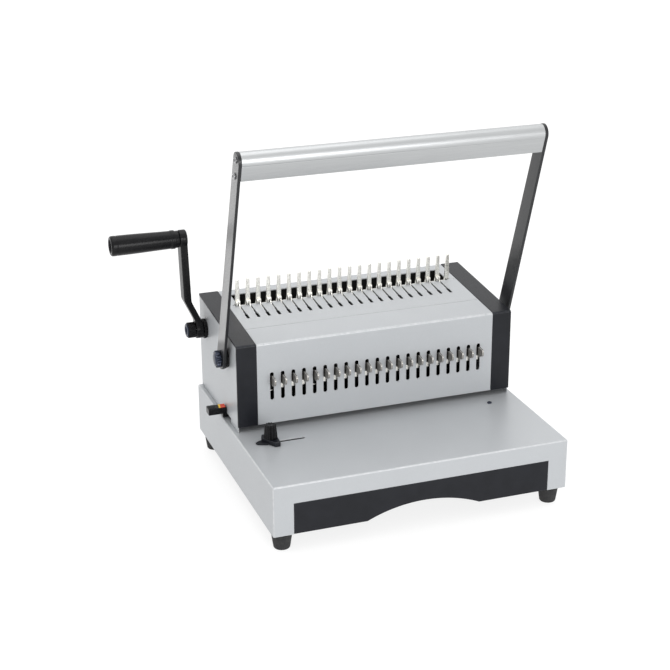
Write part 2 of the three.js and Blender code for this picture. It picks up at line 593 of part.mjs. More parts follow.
// Grip and nut as (radius, x): a barrel with a collar at each end, and a cap nut on the shaft.
const GRIP_BORE = SPINDLE_R + 0.4;
const GRIP_X1 = HEAD_X0 - 0.4;
add('crank_grip', turned([
  [GRIP_BORE, GRIP_X1], [11.2, GRIP_X1], [11.2, -226.5], [12.2, -227.5], [12.2, -232], [11.9, -233],
  [13.2, -304], [13.2, -308.6], [11.8, -311], [8.6, -311], [8.2, -308], [0, -308],
  [0, -303], [GRIP_BORE, -303], [GRIP_BORE, GRIP_X1],
].reverse(), CRANK_Y, GRIP_Z), gloss);
add('crank_nut', turned([
  [0, -216], [8.4, -216], [10.4, -214.5], [10.4, FOOT_X0 - GAP], [CRANK_R + GAP, FOOT_X0 - GAP],
  [CRANK_R + GAP, SHAFT_LEFT - GAP], [0, SHAFT_LEFT - GAP],
], CRANK_Y, CRANK_Z, 24), blackSteel);

// ---------------------------------------------------------------- paper controls
// Margin lever: grip outside, stem through the notch and a back stop across the throat.
const STOP_Y = [-103, -99];
const STEM_Y = [-103, -95];
const STOP_Z = [91, 96.4];
const STOP_HALF = 184;
add('margin_lever', join(
  box(-213.5, -189.1, -106, -93, 97.2, 106.6),
  box(-194, -189.1, ...STEM_Y, STOP_Z[0], 98),
  box(-190, -STOP_HALF + 1, ...STEM_Y, ...STOP_Z),
  box(-STOP_HALF, STOP_HALF, ...STOP_Y, ...STOP_Z),
), gloss);

// Edge guide: a wedge-shaped block on the base with a low toe, clamped by a ribbed knob.
const KNOB_X = -158.3;
const KNOB_RADIUS = 9;
const KNOB_HEIGHT = 18;
const KNOB_TAPER = 0.18;
const KNOB_RIBS = 14;
const KNOB_RIB_DEPTH = 0.9;
const KNOB_BORE_DEPTH = 14;
const BLOCK_HEIGHT = 6.3;
const TOE_HEIGHT = 2;
const STUD_R = 3.5;
const STUD_LENGTH = 14;
{
  const low = BASE_TOP + GAP;
  const block = alongZ(outline([
    [-169.5, -191], [-157.2, -211.6], [-150, -212], [-148.5, -184], [-166, -182],
  ]), low, low + BLOCK_HEIGHT);
  const toe = alongZ(outline([
    [-178, -194.5], [-176.5, -198], [-164, -203.5], [-160, -198], [-167, -189], [-172, -190],
  ]), low, low + TOE_HEIGHT);
  const stud = new THREE.CylinderGeometry(STUD_R, STUD_R, STUD_LENGTH, 16).rotateX(Math.PI / 2)
    .translate(KNOB_X, GUIDE_Y, low + BLOCK_HEIGHT - 1 + STUD_LENGTH / 2);
  const tongueHalf = GUIDE_SLOT_HALF - 0.5;
  const tongue = box(KNOB_X - 6, KNOB_X + 6, GUIDE_Y - tongueHalf, GUIDE_Y + tongueHalf,
    BASE_TOP - 7, low + 1);
  add('guide_block', join(block, toe, stud, tongue), charcoal);

  const ribbed = outline(Array.from({ length: KNOB_RIBS * 2 }, (_, i) => {
    const turn = (i / (KNOB_RIBS * 2)) * Math.PI * 2;
    const reach = i % 2 ? KNOB_RADIUS : KNOB_RADIUS - KNOB_RIB_DEPTH;
    return [reach * Math.cos(turn), reach * Math.sin(turn)];
  }));
  const body = alongZ(ribbed, 0, KNOB_HEIGHT);
  const position = body.getAttribute('position');
  for (let i = 0; i < position.count; i++) {
    const shrink = 1 - (KNOB_TAPER * position.getZ(i)) / KNOB_HEIGHT;
    position.setX(i, position.getX(i) * shrink);
    position.setY(i, position.getY(i) * shrink);
  }
  const bore = new THREE.CylinderGeometry(STUD_R + GAP, STUD_R + GAP, KNOB_BORE_DEPTH + 1, 16)
    .rotateX(Math.PI / 2).translate(0, 0, (KNOB_BORE_DEPTH - 1) / 2);
  add('guide_knob', cut(body, bore), charcoal).position.set(KNOB_X, GUIDE_Y, low + BLOCK_HEIGHT + GAP);
}

// ---------------------------------------------------------------- origin: middle of the footprint
machine.updateMatrixWorld(true);
const bounds = new THREE.Box3().setFromObject(machine, true);
const middle = bounds.getCenter(new THREE.Vector3());
machine.position.set(-middle.x, -middle.y, -bounds.min.z);

export default machine;
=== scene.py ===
# %% [markdown]
# # A comb binding machine, cell by cell
#
# An office comb binder punches a row of holes with the big U-shaped handle and opens plastic combs with
# the side crank. Its CAD model is already made and has working joints. Here it gets its looks: folded and
# painted sheet, moulded covers, turned knobs, screws and finishes. The CAD model is loaded as a fixed
# frame, because every new piece then has a place to go and a moving part to ride on.

# %% Load the frame
import bmesh
import bpy
import math
from mathutils import Matrix, Vector


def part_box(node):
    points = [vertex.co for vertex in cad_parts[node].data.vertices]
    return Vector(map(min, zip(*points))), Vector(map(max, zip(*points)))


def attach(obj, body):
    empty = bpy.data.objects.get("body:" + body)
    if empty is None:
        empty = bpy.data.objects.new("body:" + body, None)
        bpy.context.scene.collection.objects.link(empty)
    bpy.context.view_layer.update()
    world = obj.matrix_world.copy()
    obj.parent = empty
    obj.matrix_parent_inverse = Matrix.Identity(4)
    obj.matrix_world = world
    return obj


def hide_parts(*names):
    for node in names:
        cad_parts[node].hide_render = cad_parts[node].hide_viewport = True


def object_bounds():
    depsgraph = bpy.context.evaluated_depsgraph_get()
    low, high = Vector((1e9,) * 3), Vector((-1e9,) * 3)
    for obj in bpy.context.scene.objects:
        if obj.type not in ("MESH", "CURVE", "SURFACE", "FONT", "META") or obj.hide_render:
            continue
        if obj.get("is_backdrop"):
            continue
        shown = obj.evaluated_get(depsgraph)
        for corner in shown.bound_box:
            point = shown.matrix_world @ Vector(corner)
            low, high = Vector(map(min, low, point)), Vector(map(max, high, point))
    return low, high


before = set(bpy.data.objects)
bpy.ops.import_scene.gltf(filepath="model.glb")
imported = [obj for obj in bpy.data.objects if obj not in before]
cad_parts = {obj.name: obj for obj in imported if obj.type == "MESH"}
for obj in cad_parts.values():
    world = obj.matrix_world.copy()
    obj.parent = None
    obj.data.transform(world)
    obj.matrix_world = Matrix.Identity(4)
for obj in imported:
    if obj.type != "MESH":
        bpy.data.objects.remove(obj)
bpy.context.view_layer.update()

# %% [markdown]
# ## Where things are
#
# A fitter measures a machine from one datum. Ours is the middle of the base, at the zero line of the CAD
# drawing, so the numbers below are plain millimetres. A second datum sits on the front fold and leans with
# the sloping top. Each is a matrix that carries a finished mesh to its place in the frame.

# %% Two datums
MM = 0.001
BASE_REAR = 18
pan_low, pan_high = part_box("base_pan")
cap_low, cap_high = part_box("end_cap_left")
RISE = 0.0738
SLOPE = math.atan(RISE)

home = Vector(((pan_low.x + pan_high.x) / 2, pan_high.y - BASE_REAR * MM, 0))
fold_height = cap_high.z - RISE * (cap_high.y - cap_low.y)
fold = Vector((home.x, cap_low.y, fold_height))

MACHINE = Matrix.Translation(home) @ Matrix.Scale(MM, 4)
TOP = Matrix.Translation(fold) @ Matrix.Rotation(SLOPE, 4, "X") @ Matrix.Scale(MM, 4)
print("datum at", [round(value / MM, 1) for value in home], "fold height", round(fold_height / MM, 1))

# %% [markdown]
# Drawings are made flat, in (across, up). These two matrices stand a drawing up: to look at it from the
# front of the machine, or from its right side. A drawing seen from above needs no matrix.

# %% Ways to stand a drawing up
FROM_FRONT = Matrix(((1, 0, 0, 0), (0, 0, -1, 0), (0, 1, 0, 0), (0, 0, 0, 1)))
FROM_SIDE = Matrix(((0, 0, 1, 0), (1, 0, 0, 0), (0, 1, 0, 0), (0, 0, 0, 1)))

# %% [markdown]
# ## A kit for making parts
#
# Most of this machine is sheet metal and moulded plastic, so a handful of workshop moves makes nearly all
# of it: cut a plate from an outline, mill a block, turn a bar, take material away, and break the edges.
# Nothing real has a perfectly sharp edge, and the thin highlights on broken edges are what make it real.

# %% Run modifiers on a bare mesh
def reworked(mesh, *steps):
    """The mesh after a row of modifiers, each written as (kind, settings)."""
    holder = bpy.data.objects.new("on_the_bench", mesh)
    bpy.context.scene.collection.objects.link(holder)
    for kind, settings in steps:
        step = holder.modifiers.new(kind, kind)
        for setting, value in settings.items():
            setattr(step, setting, value)
    graph = bpy.context.evaluated_depsgraph_get()
    result = bpy.data.meshes.new_from_object(holder.evaluated_get(graph))
    bpy.data.objects.remove(holder)
    return result


def broken_edges(mesh, width, segments=2, angle=32):
    """Rounds every edge sharper than the angle."""
    settings = {
        "width": width,
        "segments": segments,
        "limit_method": "ANGLE",
        "angle_limit": math.radians(angle),
    }
    return reworked(mesh, ("BEVEL", settings))

# %% [markdown]
# A shape drawn face by face has doubled corners where the faces meet, and faces that look inwards. Merging
# the doubles and recalculating the normals closes it. Joining and moving are done on the bare mesh as well,
# because a finished mesh in its final place needs no object transform.

# %% Join and clean meshes
def tidy(shape, gap=1e-4):
    """Closes a bmesh where its faces meet and turns every face outwards."""
    bmesh.ops.remove_doubles(shape, verts=shape.verts, dist=gap)
    bmesh.ops.recalc_face_normals(shape, faces=shape.faces)
    mesh = bpy.data.meshes.new("part")
    shape.to_mesh(mesh)
    shape.free()
    return mesh


def together(*meshes):
    """Several finished meshes as one mesh."""
    shape = bmesh.new()
    for mesh in meshes:
        shape.from_mesh(mesh)
    result = bpy.data.meshes.new("assembly")
    shape.to_mesh(result)
    shape.free()
    return result


def placed(mesh, *moves):
    """The mesh after matrices, the first one first."""
    for move in moves:
        mesh.transform(move)
    return mesh


def moved(x, y, z):
    return Matrix.Translation((x, y, z))


# %% [markdown]
# A plate starts as a closed 2-D curve. Blender fills the curve, gives it a thickness and bevels its rim,
# and holes are simply more closed curves. The bevel follows holes too, which is what a deburred edge does.

# %% Cut a plate from an outline
def wound(points, turn):
    """The points in the wanted direction: 1 is anticlockwise, -1 clockwise."""
    area = 0.0
    for (a0, b0), (a1, b1) in zip(points, points[1:] + points[:1]):
        area += a0 * b1 - a1 * b0
    return points if area * turn > 0 else points[::-1]


def plate(outer, bottom, top, edge=0.2, holes=()):
    """A flat part from its outline and holes, from bottom to top along the drawing's normal."""
    drawing = bpy.data.curves.new("drawing", "CURVE")
    drawing.dimensions = "2D"
    drawing.fill_mode = "BOTH"
    drawing.extrude = (top - bottom) / 2 - edge
    drawing.bevel_depth = edge
    drawing.bevel_resolution = 1
    drawing.offset = -edge
    loops = [wound(outer, 1)] + [wound(hole, -1) for hole in holes]
    for points in loops:
        line = drawing.splines.new("POLY")
        line.points.add(len(points) - 1)
        for spot, (a, b) in zip(line.points, points):
            spot.co = (a, b, 0, 1)
        line.use_cyclic_u = True
    holder = bpy.data.objects.new("drawing", drawing)
    bpy.context.scene.collection.objects.link(holder)
    graph = bpy.context.evaluated_depsgraph_get()
    filled = bpy.data.meshes.new_from_object(holder.evaluated_get(graph))
    bpy.data.objects.remove(holder)
    shape = bmesh.new()
    shape.from_mesh(filled)
    mesh = tidy(shape)
    return placed(mesh, moved(0, 0, (bottom + top) / 2))

# %% [markdown]
# Most outlines are made of the same few shapes: arcs, round holes, rectangles, long holes, and corners
# that are eased with a small radius. Each returns a plain list of points, so they can be put together.

# %% Outlines that come back often
def arc(a, b, radius, start, end, steps=10):
    """Points on an arc, angles in degrees."""
    points = []
    for step in range(steps + 1):
        turn = math.radians(start + (end - start) * step / steps)
        points.append((a + radius * math.cos(turn), b + radius * math.sin(turn)))
    return points


def circle(a, b, radius, steps=40):
    return arc(a, b, radius, 0, 360, steps)[:-1]


def rectangle(a0, a1, b0, b1):
    return [(a0, b0), (a1, b0), (a1, b1), (a0, b1)]


def long_hole(a, b0, b1, width):
    """A slot with round ends."""
    radius = width / 2
    return arc(a, b1 - radius, radius, 0, 180) + arc(a, b0 + radius, radius, 180, 360)


def eased(points, radius, steps=4):
    """The outline with each corner rounded off."""
    result = []
    count = len(points)
    for index, corner in enumerate(points):
        here = Vector(corner)
        before = Vector(points[index - 1]) - here
        after = Vector(points[(index + 1) % count]) - here
        straight = before.normalized().dot(after.normalized()) < -0.985
        if straight:
            result.append(tuple(here))
            continue
        reach = min(radius, before.length * 0.45, after.length * 0.45)
        start = here + before.normalized() * reach
        end = here + after.normalized() * reach
        for step in range(steps + 1):
            t = step / steps
            bend = start * (1 - t) ** 2 + here * 2 * t * (1 - t) + end * t**2
            result.append(tuple(bend))
    return result


# %% [markdown]
# A lathe turns a profile round an axis, and a mill leaves a block. Taking one shape out of another is a
# Boolean. The exact solver is slower than the fast one, and it keeps the result closed.

# %% Turn, mill and cut
def turned(profile, sides=48):
    """A turned part from (radius, height) points, about the drawing's normal."""
    shape = bmesh.new()
    rings = []
    for radius, height in profile:
        ring = []
        for side in range(sides):
            turn = 2 * math.pi * side / sides
            ring.append(shape.verts.new((radius * math.cos(turn), radius * math.sin(turn), height)))
        rings.append(ring)
    for low, high in zip(rings, rings[1:]):
        for side in range(sides):
            after = (side + 1) % sides
            shape.faces.new((low[side], low[after], high[after], high[side]))
    return tidy(shape)


def block(x0, x1, y0, y1, z0, z1, edge=0.0, segments=3):
    shape = bmesh.new()
    size = Matrix.Diagonal((x1 - x0, y1 - y0, z1 - z0, 1))
    centre = moved((x0 + x1) / 2, (y0 + y1) / 2, (z0 + z1) / 2)
    bmesh.ops.create_cube(shape, size=1, matrix=centre @ size)
    mesh = tidy(shape)
    return broken_edges(mesh, edge, segments) if edge else mesh


def carved(mesh, *others):
    """The mesh with the other shapes taken out of it."""
    tools = []
    steps = []
    for other in others:
        tool = bpy.data.objects.new("tool", other)
        bpy.context.scene.collection.objects.link(tool)
        tools.append(tool)
        steps.append(("BOOLEAN", {"object": tool, "operation": "DIFFERENCE", "solver": "EXACT"}))
    result = reworked(mesh, *steps)
    for tool in tools:
        bpy.data.objects.remove(tool)
    return result


# %% [markdown]
# ## Finishes
#
# Each finish is one Principled shader with its own fine texture. Object coordinates are used, because a
# piece here keeps its place in its mesh, so the grain stays put when a joint moves. Sizes are given in
# millimetres of the real surface: 1 / size in metres is what the Noise node calls scale.

# %% A mixing bench for finishes
class Finish:
    """One material while it is mixed."""

    def __init__(self, name, colour, roughness, metallic=0.0):
        self.material = bpy.data.materials.new(name)
        self.material.use_nodes = True
        self.material.diffuse_color = (*colour, 1)
        self.nodes = self.material.node_tree.nodes
        self.links = self.material.node_tree.links
        self.shader = self.nodes["Principled BSDF"]
        self.shader.inputs["Base Color"].default_value = (*colour, 1)
        self.shader.inputs["Roughness"].default_value = roughness
        self.shader.inputs["Metallic"].default_value = metallic
        self.place = self.nodes.new("ShaderNodeTexCoord").outputs["Object"]
        self.normal = None

    def stretched(self, stretch):
        mapping = self.nodes.new("ShaderNodeMapping")
        mapping.inputs["Scale"].default_value = stretch
        self.links.new(self.place, mapping.inputs["Vector"])
        return mapping.outputs["Vector"]

    def grain(self, size, detail=2.0, stretch=(1, 1, 1)):
        """Soft cloudy texture with features of this size in millimetres."""
        noise = self.nodes.new("ShaderNodeTexNoise")
        noise.inputs["Scale"].default_value = 1 / (size * MM)
        noise.inputs["Detail"].default_value = detail
        self.links.new(self.stretched(stretch), noise.inputs["Vector"])
        return noise.outputs["Fac"]

    def cells(self, size):
        """Distance to scattered points this many millimetres apart."""
        voronoi = self.nodes.new("ShaderNodeTexVoronoi")
        voronoi.inputs["Scale"].default_value = 1 / (size * MM)
        self.links.new(self.place, voronoi.inputs["Vector"])
        return voronoi.outputs["Distance"]

    # The finishes paint these faces lighter: partly wear, partly a painted highlight.
    def wear_and_highlight(self):
        """1 on the narrow faces of broken edges, 0 elsewhere."""
        attribute = self.nodes.new("ShaderNodeAttribute")
        attribute.attribute_name = "wear_and_highlight"
        return attribute.outputs["Fac"]

    def spread(self, fac, low, high, start=0.35, end=0.65):
        """The texture's middle range stretched over low to high."""
        spread = self.nodes.new("ShaderNodeMapRange")
        spread.inputs["From Min"].default_value = start
        spread.inputs["From Max"].default_value = end
        spread.inputs["To Min"].default_value = low
        spread.inputs["To Max"].default_value = high
        self.links.new(fac, spread.inputs["Value"])
        return spread.outputs["Result"]

    def times(self, one, other):
        product = self.nodes.new("ShaderNodeMath")
        product.operation = "MULTIPLY"
        self.links.new(one, product.inputs[0])
        self.links.new(other, product.inputs[1])
        return product.outputs["Value"]

    def mix(self, fac, one, other):
        """Blends two colours, or a colour over an earlier blend."""
        mix = self.nodes.new("ShaderNodeMix")
        mix.data_type = "RGBA"
        for socket, value in ((mix.inputs[6], one), (mix.inputs[7], other)):
            if isinstance(value, tuple):
                socket.default_value = (*value, 1)
            else:
                self.links.new(value, socket)
        self.links.new(fac, mix.inputs[0])
        return mix.outputs[2]

    def coloured(self, colour):
        self.links.new(colour, self.shader.inputs["Base Color"])

    def roughened(self, value):
        self.links.new(value, self.shader.inputs["Roughness"])

    def relief(self, height, depth, strength=1.0):
        """Bumps up to this many millimetres deep, on top of any before."""
        bump = self.nodes.new("ShaderNodeBump")
        bump.inputs["Distance"].default_value = depth * MM
        bump.inputs["Strength"].default_value = strength
        self.links.new(height, bump.inputs["Height"])
        if self.normal is not None:
            self.links.new(self.normal, bump.inputs["Normal"])
        self.normal = bump.outputs["Normal"]
        self.links.new(self.normal, self.shader.inputs["Normal"])


finishes = {}

# %% [markdown]
# The sheet steel is powder painted in pale silver. Powder paint flows together into a faint orange peel
# about a millimetre wide, and the silver in it is fine flake, which shows as a tiny speckle. On folds and
# cut edges the colour is a little brighter: partly a thinner coat, partly a painted highlight.

# %% Silver paint
paint = Finish("silver_paint", (0.41, 0.425, 0.44), 0.36, 0.15)
paint.shader.inputs["Specular IOR Level"].default_value = 0.42
flake = paint.spread(paint.grain(0.22, 1.0), 0, 1, 0.3, 0.7)
speckled = paint.mix(flake, (0.378, 0.392, 0.407), (0.448, 0.464, 0.480))
cloud = paint.spread(paint.grain(55, 2.0), 0, 0.16)
clouded = paint.mix(cloud, speckled, (0.358, 0.372, 0.387))
# Lighter folds and cut edges: partly a thinner coat, partly a painted highlight.
thin_coat_and_highlight = paint.times(paint.wear_and_highlight(), paint.spread(paint.grain(4, 3.0), 0.35, 0.9))
paint.coloured(paint.mix(thin_coat_and_highlight, clouded, (0.54, 0.55, 0.56)))
paint.roughened(paint.spread(paint.grain(1.4, 3.0), 0.32, 0.41))
paint.relief(paint.grain(1.3, 1.0), 0.018)
paint.relief(paint.grain(0.2, 1.0), 0.004)
finishes["silver_paint"] = paint.material
print("mixed", paint.material.name)

# %% [markdown]
# The end covers and the drawer are moulded in charcoal ABS with a spark-eroded grain: small pits that make
# the surface satin. The broken edges are painted lighter: partly polish from hands and sleeves, partly a
# painted highlight.

# %% Charcoal moulded plastic
charcoal = Finish("charcoal_plastic", (0.0062, 0.0070, 0.0100), 0.40)
charcoal.shader.inputs["Specular IOR Level"].default_value = 0.25
tone = charcoal.spread(charcoal.grain(18, 3.0), 0, 1)
toned = charcoal.mix(tone, (0.0050, 0.0058, 0.0086), (0.0074, 0.0083, 0.0118))
# Lighter broken edges: partly polish, partly a painted highlight.
polish_and_highlight = charcoal.times(charcoal.wear_and_highlight(), charcoal.spread(charcoal.grain(3, 2.0), 0.2, 0.8))
charcoal.coloured(charcoal.mix(polish_and_highlight, toned, (0.026, 0.028, 0.034)))
charcoal.roughened(charcoal.spread(charcoal.grain(0.6, 3.0), 0.33, 0.46))
charcoal.relief(charcoal.cells(0.42), 0.030, 0.7)
charcoal.relief(charcoal.grain(0.25, 2.0), 0.010)
finishes["charcoal_plastic"] = charcoal.material

# %% [markdown]
# The crank, its grip and the margin lever are a smoother black. Glossy mouldings are never quite flat: the
# plastic sinks a little as it cools, so a wide, very shallow wave bends the reflections.

# %% Gloss black plastic
gloss = Finish("gloss_black_plastic", (0.0045, 0.0045, 0.0052), 0.2)
gloss.shader.inputs["Specular IOR Level"].default_value = 0.17
scuff = gloss.spread(gloss.grain(2.5, 4.0), 0, 1, 0.45, 0.75)
gloss.coloured(gloss.mix(scuff, (0.0040, 0.0040, 0.0047), (0.0090, 0.0090, 0.0098)))
gloss.roughened(gloss.spread(gloss.grain(1.2, 3.0), 0.19, 0.30))
gloss.relief(gloss.grain(9, 1.0), 0.05, 0.6)
gloss.relief(gloss.grain(0.5, 2.0), 0.003)
finishes["gloss_black_plastic"] = gloss.material

# %% [markdown]
# The grip bar is drawn aluminium, satin anodised. The die leaves hair-fine lines along the bar, so the
# texture is stretched along X until it is all streak.

# %% Satin aluminium
alloy = Finish("satin_aluminium", (0.46, 0.47, 0.475), 0.33, 1.0)
streak = alloy.grain(0.5, 3.0, (0.012, 1, 1))
alloy.coloured(alloy.mix(alloy.spread(streak, 0, 1), (0.44, 0.45, 0.455), (0.48, 0.49, 0.495)))
alloy.roughened(alloy.spread(alloy.grain(0.35, 2.0, (0.02, 1, 1)), 0.36, 0.44))
alloy.relief(streak, 0.003, 0.6)
finishes["satin_aluminium"] = alloy.material

# %% [markdown]
# The handle arms are steel bar in black enamel. Enamel is glossier than the powder paint and shows a finer
# peel, and it carries a bright sheen when light rakes along it.

# %% Black enamel on steel
enamel = Finish("black_painted_steel", (0.0048, 0.0051, 0.0066), 0.33)
enamel_tone = enamel.spread(enamel.grain(12, 3.0), 0, 1)
enamelled = enamel.mix(enamel_tone, (0.0040, 0.0043, 0.0058), (0.0062, 0.0066, 0.0084))
# Lighter broken edges: partly rubbed enamel, partly a painted highlight.
rub_and_highlight = enamel.times(enamel.wear_and_highlight(), enamel.spread(enamel.grain(2.2, 3.0), 0, 0.5))
enamel.coloured(enamel.mix(rub_and_highlight, enamelled, (0.026, 0.027, 0.030)))
enamel.roughened(enamel.spread(enamel.grain(1.6, 3.0), 0.29, 0.37))
enamel.relief(enamel.grain(1.1, 1.0), 0.012)
finishes["black_painted_steel"] = enamel.material

# %% [markdown]
# Inside, the punch block is plain ground steel with a film of oil, and the tines and hooks are nickel
# plated. Plating is warm and bright, with faint marks where the press stamped the part out.

# %% Ground steel and nickel plate
steel = Finish("machined_steel", (0.34, 0.345, 0.35), 0.34, 1.0)
lay = steel.grain(0.3, 3.0, (0.03, 1, 1))
oil = steel.mix(steel.spread(steel.grain(14, 3.0), 0, 1), (0.26, 0.262, 0.268), (0.40, 0.405, 0.41))
steel.coloured(oil)
steel.roughened(steel.spread(lay, 0.26, 0.44))
steel.relief(lay, 0.006)
finishes["machined_steel"] = steel.material

nickel = Finish("nickel_plate", (0.80, 0.785, 0.735), 0.28, 0.85)
warm = nickel.spread(nickel.grain(3.5, 3.0), 0, 1)
plated = nickel.mix(warm, (0.76, 0.745, 0.690), (0.86, 0.85, 0.80))
# Brighter broken edges: partly worn plating, partly a painted highlight.
bright = nickel.times(nickel.wear_and_highlight(), nickel.spread(nickel.grain(1, 2.0), 0.2, 0.7))
nickel.coloured(nickel.mix(bright, plated, (0.92, 0.91, 0.88)))
nickel.roughened(nickel.spread(nickel.grain(0.8, 3.0), 0.22, 0.38))
nickel.relief(nickel.grain(0.25, 2.0, (1, 1, 0.08)), 0.005)
finishes["nickel_plate"] = nickel.material

# %% [markdown]
# The pull tabs are stamped from a darker strip. Their faces keep the brown tint of the rolled steel, and the
# sheared rims are bright: partly bare steel, partly a painted highlight. What lies deep inside the slots is
# painted a dull black as painted shade, so that it swallows light.

# %% Tab steel and dull black
tab_steel = Finish("tab_steel", (0.25, 0.235, 0.215), 0.34, 0.9)
rolled = tab_steel.grain(0.7, 3.0, (1, 0.15, 1))
strip_tone = tab_steel.mix(tab_steel.spread(rolled, 0, 1), (0.205, 0.190, 0.170), (0.300, 0.280, 0.255))
# Bright rims: partly bare sheared steel, partly a painted highlight.
rim = tab_steel.times(tab_steel.wear_and_highlight(), tab_steel.spread(tab_steel.grain(1.2, 2.0), 0.6, 1.0))
tab_steel.coloured(tab_steel.mix(rim, strip_tone, (0.80, 0.79, 0.76)))
tab_steel.roughened(tab_steel.spread(rolled, 0.27, 0.42))
tab_steel.relief(rolled, 0.006)
finishes["tab_steel"] = tab_steel.material

# Near-black paint used as painted shade: deep in the slots, in the trough and on the ram.
dull = Finish("shade_black", (0.0035, 0.0035, 0.0038), 0.8)
dull.shader.inputs["Specular IOR Level"].default_value = 0.2
sooty = dull.spread(dull.grain(6, 3.0), 0, 1)
dull.coloured(dull.mix(sooty, (0.0028, 0.0028, 0.0030), (0.0048, 0.0047, 0.0046)))
dull.roughened(dull.spread(dull.grain(1.0, 3.0), 0.72, 0.9))
dull.relief(dull.grain(0.5, 2.0), 0.01)
finishes["shade_black"] = dull.material

# %% [markdown]
# The feet are dusty rubber. The nuts of the handle, the ring of the crank and the screw in the base are
# blued steel, whose tint wanders between black and blue. The marks on the lever are screen-printed, so each
# is a thin, slightly uneven coat of ink.

# %% Rubber, blued steel, and the marks on the lever
rubber = Finish("rubber", (0.013, 0.013, 0.014), 0.78)
dust = rubber.spread(rubber.grain(5, 4.0), 0, 1, 0.4, 0.7)
rubber.coloured(rubber.mix(dust, (0.0115, 0.0115, 0.0125), (0.022, 0.0215, 0.021)))
rubber.roughened(rubber.spread(rubber.grain(1.5, 3.0), 0.66, 0.86))
rubber.relief(rubber.grain(0.35, 3.0), 0.02)
finishes["rubber"] = rubber.material

blued = Finish("blued_steel", (0.012, 0.016, 0.030), 0.3, 0.4)
temper = blued.spread(blued.grain(4, 3.0), 0, 1)
blued.coloured(blued.mix(temper, (0.010, 0.013, 0.024), (0.020, 0.028, 0.055)))
blued.roughened(blued.spread(blued.grain(0.9, 3.0), 0.24, 0.38))
blued.relief(blued.grain(0.4, 2.0), 0.006)
finishes["blued_steel"] = blued.material


def ink(name, dark, light):
    """Screen-printed colour on plastic: slightly uneven and satin."""
    mark = Finish(name, light, 0.42)
    mark.coloured(mark.mix(mark.spread(mark.grain(0.8, 3.0), 0, 1), dark, light))
    mark.roughened(mark.spread(mark.grain(0.5, 2.0), 0.36, 0.5))
    mark.relief(mark.grain(0.3, 2.0), 0.006)
    return mark.material


finishes["yellow_mark"] = ink("yellow_mark", (0.72, 0.42, 0.02), (0.88, 0.58, 0.05))
finishes["red_mark"] = ink("red_mark", (0.52, 0.035, 0.01), (0.72, 0.07, 0.02))

# %% [markdown]
# ## Fitting a piece
#
# Fitting a piece means the same four things each time: carry it to its place, give it a finish, let it
# ride on its moving body, and hide the CAD solid it stands for. Weighted normals keep wide faces flat
# while the narrow broken edges roll the light. Those narrow faces are also marked, and the finishes paint
# them lighter: partly wear, partly a painted highlight.

# %% The fitter
NARROW = 0.9 * MM


# Picks the faces that get painted edge wear and a painted highlight.
def mark_wear_and_highlight(mesh):
    """Marks the narrow, tilted faces of broken edges, which the finishes read."""
    shape = bmesh.new()
    shape.from_mesh(mesh)
    values = []
    for face in shape.faces:
        sides = sorted(face.edges, key=lambda edge: edge.calc_length())[-2:]
        narrow = face.calc_area() < NARROW * sides[-1].calc_length()
        tilted = all(len(side.link_faces) == 2 and side.calc_face_angle(0) > 0.17 for side in sides)
        values.append(1.0 if narrow and tilted else 0.0)
    shape.free()
    attribute = mesh.attributes.new("wear_and_highlight", "FLOAT", "FACE")
    attribute.data.foreach_set("value", values)


def fit(name, mesh, finish, body, *stands_for):
    """Makes the mesh a piece of the machine."""
    mesh.shade_smooth()
    mark_wear_and_highlight(mesh)
    mesh = reworked(mesh, ("WEIGHTED_NORMAL", {"weight": 100}))
    mesh.name = name
    mesh.materials.clear()
    mesh.materials.append(finishes[finish])
    piece = bpy.data.objects.new(name, mesh)
    bpy.context.scene.collection.objects.link(piece)
    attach(piece, body)
    if stands_for:
        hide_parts(*stands_for)
    size = [round(side / MM, 1) for side in piece.dimensions]
    print(f"{name}: {size} mm, {len(mesh.polygons)} faces, rides on {body}")
    return piece


# %% [markdown]
# ## Camera
#
# A product shot of a table machine is taken from a little over two metres with a long lens, which keeps
# the verticals almost parallel. The camera stands 20 degrees round to the left and 21 degrees up. It leans
# by a quarter of a degree, as a hand-set tripod does.

# %% Camera
AZIMUTH = math.radians(-19.73)
ELEVATION = math.radians(21.10)
LEAN = math.radians(-0.24)
DISTANCE = 2.165
LENS = 84.1
aim = home + Vector((0, 0, 146.5)) * MM

back = Vector((
    math.sin(AZIMUTH) * math.cos(ELEVATION),
    -math.cos(AZIMUTH) * math.cos(ELEVATION),
    math.sin(ELEVATION),
))
level = Vector((math.cos(AZIMUTH), math.sin(AZIMUTH), 0))
upright = back.cross(level)
right = level * math.cos(LEAN) + upright * math.sin(LEAN)
up = back.cross(right)

camera = bpy.data.objects.new("camera", bpy.data.cameras.new("camera"))
bpy.context.scene.collection.objects.link(camera)
camera.data.lens = LENS
camera.data.sensor_width = 36
camera.data.shift_x = -0.0021
camera.data.shift_y = -0.0045
turn = Matrix((right, up, back)).transposed().to_4x4()
camera.matrix_world = Matrix.Translation(aim + back * DISTANCE) @ turn
bpy.context.scene.camera = camera
print("camera stands at", [round(value, 3) for value in camera.location])

# %% [markdown]
# ## Base
#
# The base is a pan: one sheet of steel folded down on four sides, open below. Making it as a block that is
# hollowed from below gives the same outside and the real wall. Only the outer folds are wide; the rims of
# the drawer mouth, the guide slot and the row of punch holes are just deburred.

# %% Base pan
BASE_HALF = 195
BASE_FRONT = -318
BASE_BOTTOM = 24
BASE_TOP = 90
SHEET = 1.5
FOLD_RADIUS = 2.2
PITCH = 14.2875
RINGS = 21
ring_x = [(number - 10) * PITCH for number in range(RINGS)]


